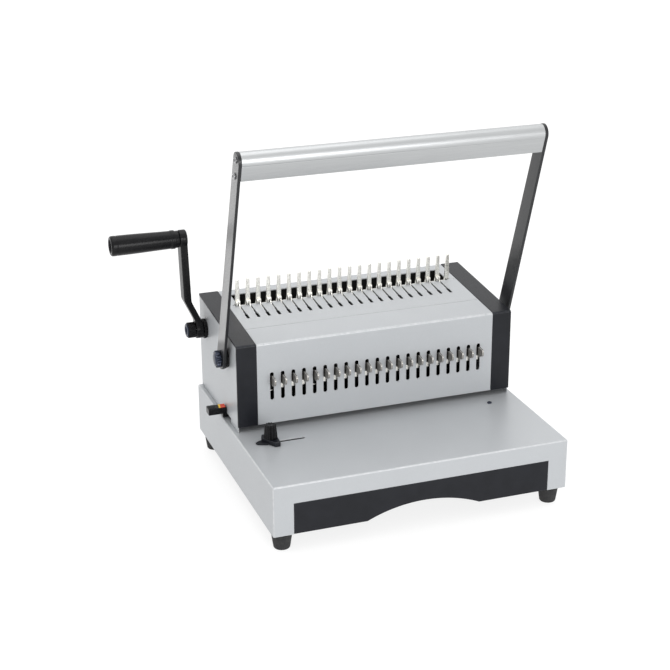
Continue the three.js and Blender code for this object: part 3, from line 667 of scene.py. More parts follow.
def folded_pan():
    shape = bmesh.new()
    size = Matrix.Diagonal((2 * BASE_HALF, BASE_REAR - BASE_FRONT, BASE_TOP - BASE_BOTTOM, 1))
    centre = moved(0, (BASE_REAR + BASE_FRONT) / 2, (BASE_TOP + BASE_BOTTOM) / 2)
    bmesh.ops.create_cube(shape, size=1, matrix=centre @ size)
    folds = [edge for edge in shape.edges if max(v.co.z for v in edge.verts) > BASE_TOP - 1]
    bmesh.ops.bevel(shape, geom=folds, offset=FOLD_RADIUS, segments=5, profile=0.5, affect="EDGES")
    return tidy(shape)


inner_x = BASE_HALF - SHEET
hollow = block(-inner_x, inner_x, BASE_FRONT + SHEET, BASE_REAR - SHEET, 20, BASE_TOP - SHEET)
mouth = block(-168.8, 168.8, BASE_FRONT - 2, BASE_FRONT + 2.5, 20, 65.3)
GUIDE_Y = -195.8
guide_slot = plate(
    arc(-168.5, GUIDE_Y, 2.5, 90, 270) + arc(-115.5, GUIDE_Y, 2.5, -90, 90), BASE_TOP - 4, BASE_TOP + 1, 0.01)
punched = [block(x - 2.2, x + 2.2, -138.8, -129.2, BASE_TOP - 4, BASE_TOP + 1) for x in ring_x]
pan = carved(folded_pan(), hollow, mouth, guide_slot, together(*punched))
pan = broken_edges(pan, 0.3, 2, 40)
fit("base_shell", placed(pan, MACHINE), "silver_paint", "root", "base_pan")

# %% [markdown]
# Screws come up again and again, so one helper makes a pan head with a cross or a hexagon socket. The head
# is turned and the socket is cut out of it.

# %% Screws
def screw(radius, height, socket="cross"):
    """A screw head that stands on the drawing plane."""
    profile = [(0, -0.6), (radius * 0.8, -0.6), (radius * 0.8, 0), (radius, 0.05), (radius, height * 0.45)]
    profile += [(radius * 0.93, height * 0.72), (radius * 0.72, height * 0.93), (0, height)]
    head = turned(profile, 32)
    if socket == "hexagon":
        tool = plate(arc(0, 0, radius * 0.5, 0, 300, 5), height * 0.35, height + 1, 0.01)
        return broken_edges(carved(head, tool), 0.12, 1, 45)
    arm, thick = radius * 0.55, radius * 0.13
    one = block(-arm, arm, -thick, thick, height * 0.4, height + 1)
    other = block(-thick, thick, -arm, arm, height * 0.4, height + 1)
    return broken_edges(carved(head, one, other), 0.08, 1, 50)


base_screw = placed(screw(3.1, 1.9), Matrix.Rotation(0.6, 4, "Z"), moved(151, -179, BASE_TOP), MACHINE)
fit("base_screw", base_screw, "blued_steel", "root")

# %% [markdown]
# The feet are turned rubber, wider at the top, with a countersunk hole below for their screw.

# %% Feet
for side in ("front_left", "front_right", "rear_left", "rear_right"):
    low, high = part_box("foot_" + side)
    middle = (low + high) / 2
    profile = [(0, 5), (3, 5), (3, 1.2), (4.6, 0), (8.4, 0), (9.5, 0.5), (10.2, 1.4), (10.5, 2.6)]
    profile += [(12.2, 14), (12.9, 19.6), (12.4, 20.0), (12.4, 20.9), (13.2, 21.3), (13.5, 23.9), (0, 23.9)]
    foot = placed(turned(profile, 56), Matrix.Scale(MM, 4), moved(middle.x, middle.y, 0))
    fit("rubber_foot_" + side, foot, "rubber", "root", "foot_" + side)

# %% [markdown]
# ## Chip drawer
#
# The drawer catches the paper chips. Its front is a long strip with a shallow arch cut from the bottom, a
# scoop for the fingers, and the scoop runs back into the tray as a curved tunnel. The arch is an arc of one
# circle, found from its half width and its rise.

# %% Chip drawer
DRAWER_HALF = 168.5
DRAWER_LOW = 24.3
DRAWER_HIGH = 65


def arch(half_width, rise, foot):
    """Points of the arch from left to right, ending at the given height."""
    radius = (half_width**2 + rise**2) / (2 * rise)
    centre = BASE_BOTTOM + rise - radius
    reach = math.degrees(math.acos((foot - centre) / radius))
    return arc(0, centre, radius, 90 + reach, 90 - reach, 40)


strip = [(-DRAWER_HALF, DRAWER_HIGH), (-DRAWER_HALF, DRAWER_LOW)]
strip += arch(75, 16, DRAWER_LOW) + [(DRAWER_HALF, DRAWER_LOW), (DRAWER_HALF, DRAWER_HIGH)]
front = placed(plate(strip, 314, 318, 0.7), FROM_FRONT)

TRAY_LOW = 26.1
tray = block(-160, 160, -314.5, -92, TRAY_LOW, 60)
tunnel = placed(plate(arch(75, 16, 20), 263.5, 330, 0.01), FROM_FRONT)
tray = carved(tray, block(-158, 158, -313.9, -94, TRAY_LOW + 2, 62), tunnel)
roof = arch(77, 18, TRAY_LOW + 0.4) + arch(75, 16, TRAY_LOW + 0.4)[::-1]
roof = placed(plate(roof, 264, 314.3, 0.05), FROM_FRONT)
end = placed(plate(arch(77, 18, TRAY_LOW + 0.4), 262, 264.2, 0.05), FROM_FRONT)
tray = broken_edges(tray, 0.5, 2, 40)
fit("drawer", placed(together(front, tray, roof, end), MACHINE), "charcoal_plastic",
    "chip_drawer", "chip_drawer")

# %% [markdown]
# ## Body shell
#
# The two end covers are mouldings shaped like an L seen from the side: a front wall, a small round and a
# sloping top. One outline pushed sideways makes each of them.

# %% End covers
FRONT = -157
COVER_LOW = 98
FOLD_Z = fold_height / MM


def top_z(y):
    """Height of the sloping top above a point."""
    return FOLD_Z + RISE * (y - FRONT)


def l_outline(inset, wall, rear, radius, steps=8):
    """Side view of a wall that turns into the sloping top."""
    face = FRONT + inset
    lean = math.degrees(SLOPE)
    half_turn = math.radians(90 - lean) / 2
    run = radius * math.tan(half_turn)
    corner_z = top_z(face) - inset
    bend = arc(face + radius, corner_z - run, radius, 180, 90 + lean, steps)
    outer = [(face, COVER_LOW)] + bend + [(rear, top_z(rear) - inset)]
    inner = [(rear, top_z(rear) - inset - wall), (face + wall, top_z(face + wall) - inset - wall)]
    return outer + inner + [(face + wall, COVER_LOW)]


for side in ("left", "right"):
    low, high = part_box("end_cap_" + side)
    x0 = (low.x - home.x) / MM
    x1 = (high.x - home.x) / MM
    cover = placed(plate(l_outline(0, 3, 17.5, 3.2), x0, x1, 0.6), FROM_SIDE, MACHINE)
    fit("cover_" + side, cover, "charcoal_plastic", "root", "end_cap_" + side)

# %% [markdown]
# The front panel is one sheet: it is punched flat, with a row of long holes for the pull tabs, and then
# folded. We do the same. The flat plate is sliced where the fold will be, and each point is then carried
# from its place along the sheet to its place round the bend.

# %% Front panel, punched flat and folded
PANEL_HALF = 162.4
INSET = 0.5
BEND_RADIUS = 3.0
SEAM_Y = -109
lean_angle = math.pi / 2 - SLOPE
bend_run = BEND_RADIUS * math.tan(lean_angle / 2)
corner_z = top_z(FRONT + INSET) - INSET
flat_front = corner_z - bend_run - COVER_LOW
flat_bend = BEND_RADIUS * lean_angle
flat_top = (SEAM_Y - 0.3 - FRONT - INSET) / math.cos(SLOPE) - bend_run
flat_length = flat_front + flat_bend + flat_top

tab_holes = [long_hole(x, 130 - COVER_LOW, 167.7 - COVER_LOW, 5) for x in ring_x]
blank = plate(rectangle(-PANEL_HALF, PANEL_HALF, 0, flat_length), 0, SHEET, 0.25, tab_holes)
shape = bmesh.new()
shape.from_mesh(blank)
BEND_SLICES = 8
for slice_number in range(BEND_SLICES + 1):
    line = flat_front + flat_bend * slice_number / BEND_SLICES
    everything = shape.verts[:] + shape.edges[:] + shape.faces[:]
    bmesh.ops.bisect_plane(shape, geom=everything, plane_co=(0, line, 0), plane_no=(0, 1, 0))


def round_the_bend(along, depth):
    """(y, z) of a point that was this far along the flat sheet and this deep in it."""
    face = FRONT + INSET
    if along <= flat_front:
        return face + depth, COVER_LOW + along
    turn = min((along - flat_front) / BEND_RADIUS, lean_angle)
    radius = BEND_RADIUS - depth
    y = face + BEND_RADIUS - radius * math.cos(turn)
    z = COVER_LOW + flat_front + radius * math.sin(turn)
    past = max(0, along - flat_front - flat_bend)
    return y + past * math.cos(SLOPE), z + past * math.sin(SLOPE)


for vert in shape.verts:
    y, z = round_the_bend(vert.co.y, vert.co.z)
    vert.co = (vert.co.x, y, z)
panel = placed(tidy(shape), MACHINE)
fit("front_sheet", panel, "silver_paint", "root", "front_panel")
print("sheet before folding:", round(flat_length, 1), "mm long")

# %% [markdown]
# The rear part of the top is a second sheet that meets the first at a seam. Its cut-out is one closed
# outline: a trough for the open plastic comb, with a narrow slot for each hook that runs forward and ends
# wide, like a keyhole. Two small holes beside the trough take locating pins.

# %% Top sheet
tine_x = [(number - 10.5) * PITCH for number in range(RINGS + 1)]
HOOK_OFFSET = 1.9
hook_x = [x + HOOK_OFFSET for x in tine_x[:-1]]
TROUGH_FRONT = 121.5
TROUGH_REAR = 159.4
SLOT_FRONT = 79.6
WIDE_END = 94
WIDE_HALF = 2.1
RUN_HALF = 1.2
BED_HALF = 3.8
seam_v = (SEAM_Y - FRONT) / math.cos(SLOPE) + 0.3
rear_v = (17 - FRONT) / math.cos(SLOPE)


def keyhole(x):
    """One hook slot from left to right: a narrow run that opens into a wide front end."""
    neck = math.degrees(math.acos(RUN_HALF / WIDE_HALF))
    points = [(x - RUN_HALF, TROUGH_FRONT)]
    points += arc(x, WIDE_END - WIDE_HALF, WIDE_HALF, 180 - neck, 180, 4)
    points += arc(x, SLOT_FRONT + WIDE_HALF, WIDE_HALF, 180, 360, 8)
    points += arc(x, WIDE_END - WIDE_HALF, WIDE_HALF, 0, neck, 4)
    return points + [(x + RUN_HALF, TROUGH_FRONT)]


trough_end = tine_x[-1] - 0.5
bed_end = tine_x[-1] + BED_HALF
cut_out = [(tine_x[0] - BED_HALF, TROUGH_FRONT)]
for x in hook_x:
    cut_out += keyhole(x)
cut_out += [(trough_end, TROUGH_FRONT), (trough_end, 123.6), (bed_end, 123.6), (bed_end, 128.6)]
cut_out += [(trough_end, 128.6), (trough_end, TROUGH_REAR), (tine_x[0], TROUGH_REAR)]
cut_out += [(tine_x[0], 128.6), (tine_x[0] - BED_HALF, 128.6)]
pin_holes = [circle(tine_x[0] - 5.9, 124, 1.1, 16), circle(tine_x[-1] + 9.1, 122, 1.1, 16)]
top = plate(rectangle(-PANEL_HALF, PANEL_HALF, seam_v, rear_v), -INSET - SHEET, -INSET, 0.2,
            [cut_out, *pin_holes])
fit("top_sheet", placed(top, TOP), "silver_paint", "root", "top_plate")

# %% [markdown]
# Under the trough hangs a folded tray, so that nobody's fingers and no paper scraps get at the shaft. Its
# near-black paint is painted shade, which makes the trough read as a deep dark opening.

# %% Trough tray
tray_left = tine_x[0] - 1.2
tray_right = trough_end + 1.2
tray_parts = [
    block(tray_left, tray_right, 127.8, 160.9, -26.5, -25.3, 0.3),
    block(tray_left, tray_right, 159.8, 160.9, -26, -2.3, 0.3),
    block(tray_left, tray_left + 1, 127.8, 160.9, -26, -2.3, 0.3),
    block(tray_right - 1, tray_right, 127.8, 160.9, -26, -2.3, 0.3),
]
# The tray's near-black paint is painted shade in the trough.
fit("trough_tray", placed(together(*tray_parts), TOP), "shade_black", "root")

# %% [markdown]
# The side panels close the body between the base and the covers. They are flat sheets with holes for the
# two shafts, and the left one has a notch at its foot that the margin lever passes through.

# %% Side and rear panels
DRIVE = (-112.6, 177.5)
CRANK = (-12.5, 182.1)
PANEL_LOW = 90.3
panel_front = FRONT + 3.3
outlines = {
    "left": [(panel_front, PANEL_LOW), (-122, PANEL_LOW), (-122, 96.8), (-86, 96.8), (-86, PANEL_LOW)],
    "right": [(panel_front, PANEL_LOW)],
}
for side, points in outlines.items():
    low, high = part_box("side_panel_" + side)
    points = points + [(17, PANEL_LOW), (17, top_z(17) - 3.3), (panel_front, top_z(panel_front) - 3.3)]
    holes = [circle(*DRIVE, 10.4), circle(*CRANK, 6.5)]
    sheet = plate(points, (low.x - home.x) / MM, (high.x - home.x) / MM, 0.3, holes)
    fit("side_sheet_" + side, placed(sheet, FROM_SIDE, MACHINE), "silver_paint", "root",
        "side_panel_" + side)

low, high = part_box("rear_panel")
rear_half = (high.x - low.x) / 2 / MM
rear_z = (low.z / MM, high.z / MM)
rear = plate(rectangle(-rear_half, rear_half, *rear_z), -16.7, -15.2, 0.3)
fit("rear_sheet", placed(rear, FROM_FRONT, MACHINE), "silver_paint", "root", "rear_panel")

screws = []
for x in (-176, -60, 60, 176):
    for z in (101, 205):
        screws.append(placed(screw(3.4, 2.0), moved(x, z, 0), FROM_FRONT, Matrix.Rotation(math.pi, 4, "Z"),
                             moved(0, 16.7, 0)))
fit("rear_screws", placed(together(*screws), MACHINE), "black_painted_steel", "root")

# %% [markdown]
# ## Punch
#
# Behind each long hole sits a punch with its own pull tab. A tab pulled forward leaves its punch out, for
# paper narrower than the machine. The tab is a stamped plate with a rounded, slightly raised nose.

# %% Pull tabs
TAB_HALF = 1.1
tab_outline = [(-137.2, 151), (-157.5, 151), (-162, 150.4), (-168, 153.2), (-171, 155.1), (-172, 156.8)]
tab_outline += [(-172, 161.6), (-170.6, 163.2), (-166, 163.8), (-160, 164.2), (-157.5, 163.3)]
tab_outline += [(-155.3, 161), (-137.2, 161)]
for number, x in enumerate(ring_x, 1):
    tab = plate(eased(tab_outline, 1.4, 4), x - TAB_HALF, x + TAB_HALF, 0.4)
    fit(f"pull_tab_{number:02d}", placed(tab, FROM_SIDE, MACHINE), "tab_steel",
        f"tab_{number:02d}", f"release_tab_{number:02d}")

# %% [markdown]
# The ram is the bar that drives all the punches down. Light catches the plated shoulder of each punch just
# below its tab. Two of them sit further back, so their slots look empty. A near-black sheet behind the slots
# is painted shade: it stands where there is only shade and hides the works. It is narrower than the ram,
# because the two cams swing past its ends.

# %% Ram and punch shoulders
SET_BACK = (0, 4)
shoulders = []
for number, x in enumerate(ring_x):
    if number not in SET_BACK:
        shoulders.append(block(x - 2.9, x + 2.9, -152.6, -149.95, 143.2, 149.7, 0.7))
    else:
        shoulders.append(block(x - 2.9, x + 2.9, -150.7, -149.95, 140.3, 141.3, 0.2))
fit("punch_shoulders", placed(together(*shoulders), MACHINE), "nickel_plate", "ram")

# A near-black sheet put where there is only shade: painted shade behind the slots.
shade_sheet = block(-149, 149, -117.2, -116.6, 111, 161, 0.2)
fit("slot_shade_sheet", placed(shade_sheet, MACHINE), "shade_black", "root")

# %% [markdown]
# ## Comb opener
#
# A plastic comb lies over a row of upright tines while hooks pull its rings open. The tines are all one
# pressing. Each is wider at its foot, steps in at a shoulder and ends in a rounded tip.

# %% Tines
TINE_LOW = -2.6
tines = [(tine_x[0] - 4, -24), (tine_x[-1] + 4, -24), (tine_x[-1] + 4, TINE_LOW)]
for x in reversed(tine_x):
    tines += [(x + 3.2, TINE_LOW), (x + 3.2, 4), (x + 3.0, 14.4), (x + 2.5, 17.4)]
    tines += [(x + 2.2, 33.8), (x + 1.8, 35.0), (x + 1.0, 35.8), (x, 36), (x - 1.0, 35.8)]
    tines += [(x - 1.8, 35.0), (x - 2.2, 33.8), (x - 2.9, 13), (x - 3.2, 4), (x - 3.2, TINE_LOW)]
tines += [(tine_x[0] - 4, TINE_LOW)]
comb = placed(plate(tines, -127.4, -124.6, 0.45), FROM_FRONT, TOP)
fit("tine_pressing", comb, "nickel_plate", "root", "comb_tines")

# %% [markdown]
# The hooks stand on one sliding plate under the top. Each hook rises through its slot, widens into a block
# over the foot of its tine and drops a small prong at its left. A rack at each end of the plate meshes
# with the pinion on the crank shaft.

# %% Hooks and their slide
SLIDE_HIGH = -2.4
hook_side = [(106, SLIDE_HIGH - 1), (118, SLIDE_HIGH - 1), (123.8, 0.4), (123.8, 4.6), (121, 4.6)]
hook_side += [(121, 1), (119.6, -1.6), (118, SLIDE_HIGH + 0.15), (106, SLIDE_HIGH + 0.15)]
hooks = []
for x, middle in zip(hook_x, tine_x):
    shank = placed(plate(eased(hook_side, 0.5, 2), x - 0.8, x + 0.8, 0.2), FROM_SIDE)
    head = block(middle - 3.1, middle + 3.1, 121.2, 124.2, 1.4, 5.8, 0.9)
    prong = block(middle - 3.0, middle - 1.1, 119.1, 122, 0.1, 4.4, 0.6)
    hooks += [shank, head, prong]
fit("hooks", placed(together(*hooks), TOP), "nickel_plate", "hooks")

slide = [block(-158.1, 158.1, 95, 118, SLIDE_HIGH - 2, SLIDE_HIGH, 0.25)]
low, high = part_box("hook_slider")
print("hook slide reaches", round((high.y - low.y) / MM, 1), "mm front to back")

crank_v = (CRANK[0] - FRONT) * math.cos(SLOPE) + (CRANK[1] - FOLD_Z) * math.sin(SLOPE)
crank_w = (CRANK[1] - FOLD_Z) * math.cos(SLOPE) - (CRANK[0] - FRONT) * math.sin(SLOPE)
TOOTH = 1.3
PITCH_RADIUS = TOOTH * 22 / 2
rack_line = crank_w + PITCH_RADIUS
rack_end = rear_v - 6
rack = [(98, SLIDE_HIGH - 1.8), (118, SLIDE_HIGH - 1.8), (134, rack_line + 1.6)]
tooth_step = math.pi * TOOTH
first = math.ceil((136 - crank_v) / tooth_step)
last = math.floor((rack_end - 3 - crank_v) / tooth_step)
for tooth in range(first, last):
    mid = crank_v + (tooth + 0.5) * tooth_step
    rack += [(mid - 1.25, rack_line + 1.6), (mid - 0.35, rack_line - 1.15)]
    rack += [(mid + 0.35, rack_line - 1.15), (mid + 1.25, rack_line + 1.6)]
rack += [(rack_end, rack_line + 1.6), (rack_end, -12), (142, -12), (124, SLIDE_HIGH), (98, SLIDE_HIGH)]
slide += [placed(plate(rack, x, x + 3.9, 0.12), FROM_SIDE) for x in (158.4, -162.3)]
# The slide is black enamel; its black also stands in for the shade down in the narrow slot runs.
fit("hook_slide", placed(together(*slide), TOP), "black_painted_steel", "hooks", "hook_slider")

# %% [markdown]
# ## Handle
#
# Two flat steel arms carry an aluminium grip bar. Each arm is a bar with round ends, a little wider at the
# pivot, and is drawn upright about its pivot before it is leant forward with the whole handle.

# %% Handle arms
LEAN_FORWARD = math.radians(19.2)
HANDLE_LENGTH = 299
ARM_LOW = 14
ARM_HIGH = 11.5
HANDLE = (MACHINE @ moved(0, *DRIVE)) @ Matrix.Rotation(LEAN_FORWARD, 4, "X")
flare = math.degrees(math.asin((ARM_LOW - ARM_HIGH) / HANDLE_LENGTH))
arm_outline = arc(0, 0, ARM_LOW, 180 - flare, 360 + flare, 24)
arm_outline += arc(0, HANDLE_LENGTH, ARM_HIGH, flare, 180 - flare, 20)
for side, x0 in (("left", -198.0), ("right", 194.2)):
    arm = plate(arm_outline, x0, x0 + 3.8, 0.55, [circle(0, 0, 7.3)])
    fit("arm_" + side, placed(arm, FROM_SIDE, HANDLE), "black_painted_steel", "handle",
        "handle_arm_" + side)
    outward = Matrix.Rotation(math.pi / 2 if side == "right" else -math.pi / 2, 4, "Y")
    face = 198.0 if side == "right" else -198.0
    heads = []
    for height in (HANDLE_LENGTH + 2, HANDLE_LENGTH - 20):
        heads.append(placed(screw(3.9, 2.4, "hexagon"), outward, moved(face, 0, height), HANDLE))
    fit("arm_screws_" + side, together(*heads), "machined_steel", "handle")

# %% [markdown]
# The grip bar is an extrusion: a half-round top for the palm and two straight skirts. A shallow groove
# runs where the round meets the skirt, as on many drawn sections, and it gives the bar its hard line.

# %% Grip bar
ROUND = 11.2
SKIRT = 21
WALL = 2.2
bar = arc(0, 0, ROUND, 0, 180, 36)
bar += [(-ROUND, -0.6), (-ROUND + 0.35, -0.9), (-ROUND + 0.35, -1.5), (-ROUND, -1.8), (-ROUND, -SKIRT)]
bar += [(-ROUND + WALL, -SKIRT), (-ROUND + WALL, 0)]
bar += arc(0, 0, ROUND - WALL, 180, 0, 28)[1:-1]
bar += [(ROUND - WALL, 0), (ROUND - WALL, -SKIRT), (ROUND, -SKIRT)]
bar += [(ROUND, -1.8), (ROUND - 0.35, -1.5), (ROUND - 0.35, -0.9), (ROUND, -0.6)]
grip_bar = plate(bar, -193.9, 193.9, 0.3)
grip_bar = placed(grip_bar, FROM_SIDE, moved(0, 0, HANDLE_LENGTH), HANDLE)
fit("grip_bar", grip_bar, "satin_aluminium", "handle", "handle_bar")

# %% [markdown]
# Where the shaft leaves the body it runs in a flanged bush, and a lobed nut holds the arm on. A lobed
# outline is a circle whose radius swells and shrinks as it goes round.

# %% Bushes and lobed nuts
def lobed(radius, depth, lobes, steps=8):
    """Outline of a knob with this many lobes."""
    points = []
    for step in range(lobes * steps):
        turn = 2 * math.pi * step / (lobes * steps)
        reach = radius - depth * (0.5 - 0.5 * math.cos(lobes * turn)) ** 1.5
        points.append((reach * math.cos(turn), reach * math.sin(turn)))
    return points


for side, sign in (("left", -1), ("right", 1)):
    facing = FROM_SIDE if sign > 0 else FROM_SIDE @ Matrix.Rotation(math.pi, 4, "X")
    to_drive = MACHINE @ moved(0, *DRIVE)
    profile = [(7.3, 182), (10, 182), (10, 188.8), (10.6, 189), (12, 189), (12.5, 189.5), (12.5, 191)]
    profile += [(11.7, 191.3), (11.7, 191.7), (12.5, 192), (12.5, 193.3), (12, 193.8), (7.3, 193.8)]
    profile.append((7.3, 182))
    toothed = plate(lobed(13.2, 1.1, 22, 6), 191.9, 193.7, 0.25, [circle(0, 0, 7.3)])
    bush = placed(together(turned(profile), toothed), facing, to_drive)
    fit("bush_" + side, bush, "gloss_black_plastic", "root", "bearing_" + side)
    nut = plate(lobed(11, 2.1, 10), 198.3, 204.4, 0.8, [circle(0, 0, 7.4)])
    cap = turned([(0, 203.4), (7.9, 203.4), (7.9, 204.6), (7.2, 205.4), (5, 205.9), (0, 206)])
    fit("arm_nut_" + side, placed(together(nut, cap), facing, to_drive), "blued_steel", "handle",
        "hub_nut_" + side)

# %% [markdown]
# ## Crank
#
# The crank arm is a flat bar that bends outwards just above its foot, so the grip clears the handle. Seen
# from the front it is one bent outline with eased corners, and it is as wide all the way up. A round boss
# at each end takes the shaft and the spindle of the grip.

# %% Crank arm
CRANK_REACH = 127.7
TO_CRANK = MACHINE @ moved(0, *CRANK)
TO_GRIP = TO_CRANK @ moved(0, 0, CRANK_REACH)
bent = [(-204, -7), (-194.1, -7), (-194.1, 10), (-208.9, 42), (-211.6, CRANK_REACH + 6)]
bent += [(-221.2, CRANK_REACH + 6), (-218.9, 44), (-204, 12)]
blade = placed(plate(eased(bent, 3, 6), -9.5, 9.5, 1.4), FROM_FRONT, TO_CRANK)
boss = [(6.3, -204), (10.8, -204), (12, -202.8), (12, -195.1), (10.8, -193.9), (6.3, -193.9), (6.3, -204)]
top_boss = [(0, -221.4), (10.6, -221.4), (11.8, -220.2), (11.8, -212.6), (10.6, -211.4), (0, -211.4)]
spindle = [(0, -302), (4, -302), (4, -221), (0, -221)]
crank_parts = [
    blade,
    placed(turned(boss), FROM_SIDE, TO_CRANK),
    placed(turned(top_boss), FROM_SIDE, TO_GRIP),
    placed(turned(spindle, 24), FROM_SIDE, TO_GRIP),
]
fit("crank_handle", together(*crank_parts), "gloss_black_plastic", "crank", "crank_arm")

# %% [markdown]
# The grip turns freely on its spindle. It is a long barrel that swells towards its end, with a stepped
# collar at each end and a recessed cap.

# %% Crank grip
barrel = [(4.4, -221.8), (10.6, -221.8), (11.2, -222.4), (11.2, -226.2), (11.5, -226.6), (12.0, -226.8)]
barrel += [(12.3, -227.4), (12.3, -231.6), (12.0, -232.2), (11.7, -232.6), (11.8, -234)]
for step in range(1, 12):
    barrel.append((11.8 + 1.3 * math.sin(step / 11 * math.pi / 2) ** 1.4, -234 - 68 * step / 11))
barrel += [(12.8, -302.6), (12.8, -303.2), (13.2, -303.8), (13.2, -308.2), (12.8, -309.8), (11.6, -311)]
barrel += [(9.4, -311), (8.6, -310.4), (8.3, -308.2), (5, -307.9), (4.4, -308.4), (0, -308.4)]
barrel += [(0, -303), (4.4, -303), (4.4, -221.8)]
fit("crank_barrel", placed(turned(barrel, 64), FROM_SIDE, TO_GRIP), "gloss_black_plastic",
    "crank_grip", "crank_grip")

# %% [markdown]
# The hub is a knurled plastic nut on the end of the shaft, with a metal ring and a hexagon socket in its
# face. Behind the arm a lobed spacer keeps it clear of the side of the machine.

# %% Crank nut, ring and shaft
knurled = plate(lobed(10.4, 0.8, 26, 6), -214.3, -204.5, 0.4, [circle(0, 0, 6.4)])
collar = [(6.3, -204.5), (6.3, -204.3), (9.4, -204.3), (9.4, -205), (6.3, -205), (6.3, -204.5)]
hub = together(placed(knurled, FROM_SIDE), placed(turned(collar), FROM_SIDE))
fit("crank_hub", placed(hub, TO_CRANK), "gloss_black_plastic", "crank", "crank_nut")
ring = [(5.0, -214.0), (9.1, -214.0), (9.1, -215.2), (8.5, -215.9), (6.0, -215.9), (5.4, -215.3)]
ring += [(5.0, -214.9), (5.0, -214.0)]
fit("crank_ring", placed(turned(ring), FROM_SIDE, TO_CRANK), "blued_steel", "crank")
socket = plate(circle(0, 0, 5.6, 36), -214.6, -212.4, 0.1, [arc(0, 0, 3.4, 0, 300, 5)])
fit("crank_socket", placed(socket, FROM_SIDE, TO_CRANK), "blued_steel", "crank")

shaft = [(0, -212.2), (5.4, -212.2), (6, -211.6), (6, -193.7), (6, 187.9), (5.4, 188.5), (0, 188.5)]
fit("opener_shaft", placed(turned(shaft), FROM_SIDE, TO_CRANK), "machined_steel", "crank", "crank_shaft")
spacer = plate(lobed(13.2, 1.8, 16, 6), -193.5, -189.3, 0.3, [circle(0, 0, 6.1)])
fit("crank_spacer", placed(spacer, FROM_SIDE, TO_CRANK), "gloss_black_plastic", "crank")

# %% [markdown]
# ## Paper controls
#
# The margin lever sets how deep the holes are punched. Its grip is ribbed on the outer half, and a red
# and yellow scale is printed where it meets the body. Inside, a bar across the throat stops the paper.

# %% Margin lever
lever = [
    block(-213.5, -189.3, -106, -93, 97.2, 105.9, 0.7),
    block(-194, -189.3, -103, -95, 91, 98, 0.5),
    block(-190, -183, -103, -95, 91, 96.4, 0.4),
    block(-184, 184, -103, -99, 91, 96.4, 0.4),
]
for number in range(6):
    x = -212.4 + 1.75 * number
    lever.append(block(x, x + 0.9, -105.4, -93.6, 105.6, 106.6, 0.25))
fit("lever", placed(together(*lever), MACHINE), "gloss_black_plastic", "margin_stop", "margin_lever")

wedges = {
    "yellow_mark": [[(-199.4, -105.2), (-197.2, -105.2), (-195.4, -93.8), (-198.2, -93.8)]],
    "red_mark": [[(-197.2, -105.2), (-190.4, -105.2), (-189.6, -93.8), (-195.4, -93.8)]],
}
for colour, shapes in wedges.items():
    prints = [plate(points, 105.8, 106.25, 0.1) for points in shapes]
    fit("lever_" + colour, placed(together(*prints), MACHINE), colour, "margin_stop")

# %% [markdown]
# The edge guide lines the paper up sideways. It is a small foot with a flat toe and a tongue that slides in
# the slot of the base, and a ribbed knob clamps it. The knob tapers, so it is cut as a straight plate and
# each point is then drawn in, the more the higher it lies.

# %% Edge guide and its knob
KNOB = (-158.3, GUIDE_Y)
foot = [(-169.5, -191), (-157.2, -211.6), (-150, -212), (-148.5, -184), (-166, -182)]
toe = [(-178, -194.5), (-176.5, -198), (-164, -203.5), (-160, -198), (-167, -189), (-172, -190)]
tongue = block(KNOB[0] - 6, KNOB[0] + 6, GUIDE_Y - 2, GUIDE_Y + 2, 83, 91, 0.3)
stud = turned([(0, 95), (3.5, 95), (3.5, 109.2), (3.0, 109.8), (0, 109.8)], 24)
guide = [
    plate(eased(foot, 1.8), 90.3, 96.6, 0.8),
    plate(eased(toe, 1.2), 90.3, 92.3, 0.5),
    tongue,
    placed(stud, moved(*KNOB, 0)),
]
fit("guide", placed(together(*guide), MACHINE), "charcoal_plastic", "edge_guide", "guide_block")

KNOB_LOW = 96.9
KNOB_HEIGHT = 18
TAPER = 0.18
knob = plate(lobed(9, 1.7, 12, 8), 0, KNOB_HEIGHT, 0.5, [circle(0, 0, 3.8, 24)])
shape = bmesh.new()
shape.from_mesh(knob)
for vert in shape.verts:
    draw_in = 1 - TAPER * vert.co.z / KNOB_HEIGHT
    vert.co.x *= draw_in
    vert.co.y *= draw_in
knob = tidy(shape)
lid = turned([(0, 14.2), (4.2, 14.2), (4.2, 17.6), (5.4, 17.9), (5.0, 18.3), (3.6, 18.0), (0, 17.9)], 40)
knob = placed(together(knob, lid), moved(*KNOB, KNOB_LOW), MACHINE)
fit("knob", knob, "gloss_black_plastic", "guide_knob", "guide_knob")

# %% [markdown]
# ## What stays as it came
#
# The parts inside the body are right as CAD solids. They only need their finishes.

# %% Finishes for the CAD solids that stay
inside = {
    "machined_steel": ["die_block", "punch_guide", "drive_shaft", "cam_left", "cam_right",
                       "crank_pinion", "return_spring_left", "return_spring_right"],
    "black_painted_steel": ["base_floor"],
    # The ram is dull black as painted shade, so that the slots behind the tabs read dark.
    "shade_black": ["punch_ram"],
}
for finish, names in inside.items():
    for name in names:
        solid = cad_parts[name]
        solid.data.materials.clear()
        solid.data.materials.append(finishes[finish])
left_over = [name for name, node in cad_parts.items() if not node.hide_render]
print("CAD solids that still show:", sorted(left_over))

# %% [markdown]
# ## Studio
#
# The set is a light table in a white room, lit by wide soft lamps. A light table glows by itself, so the
# ground stays white and only a faint shadow is left on it. In Blender that is a pale surface with some
# emission. It reaches far behind the machine, so its edge is never in the picture.

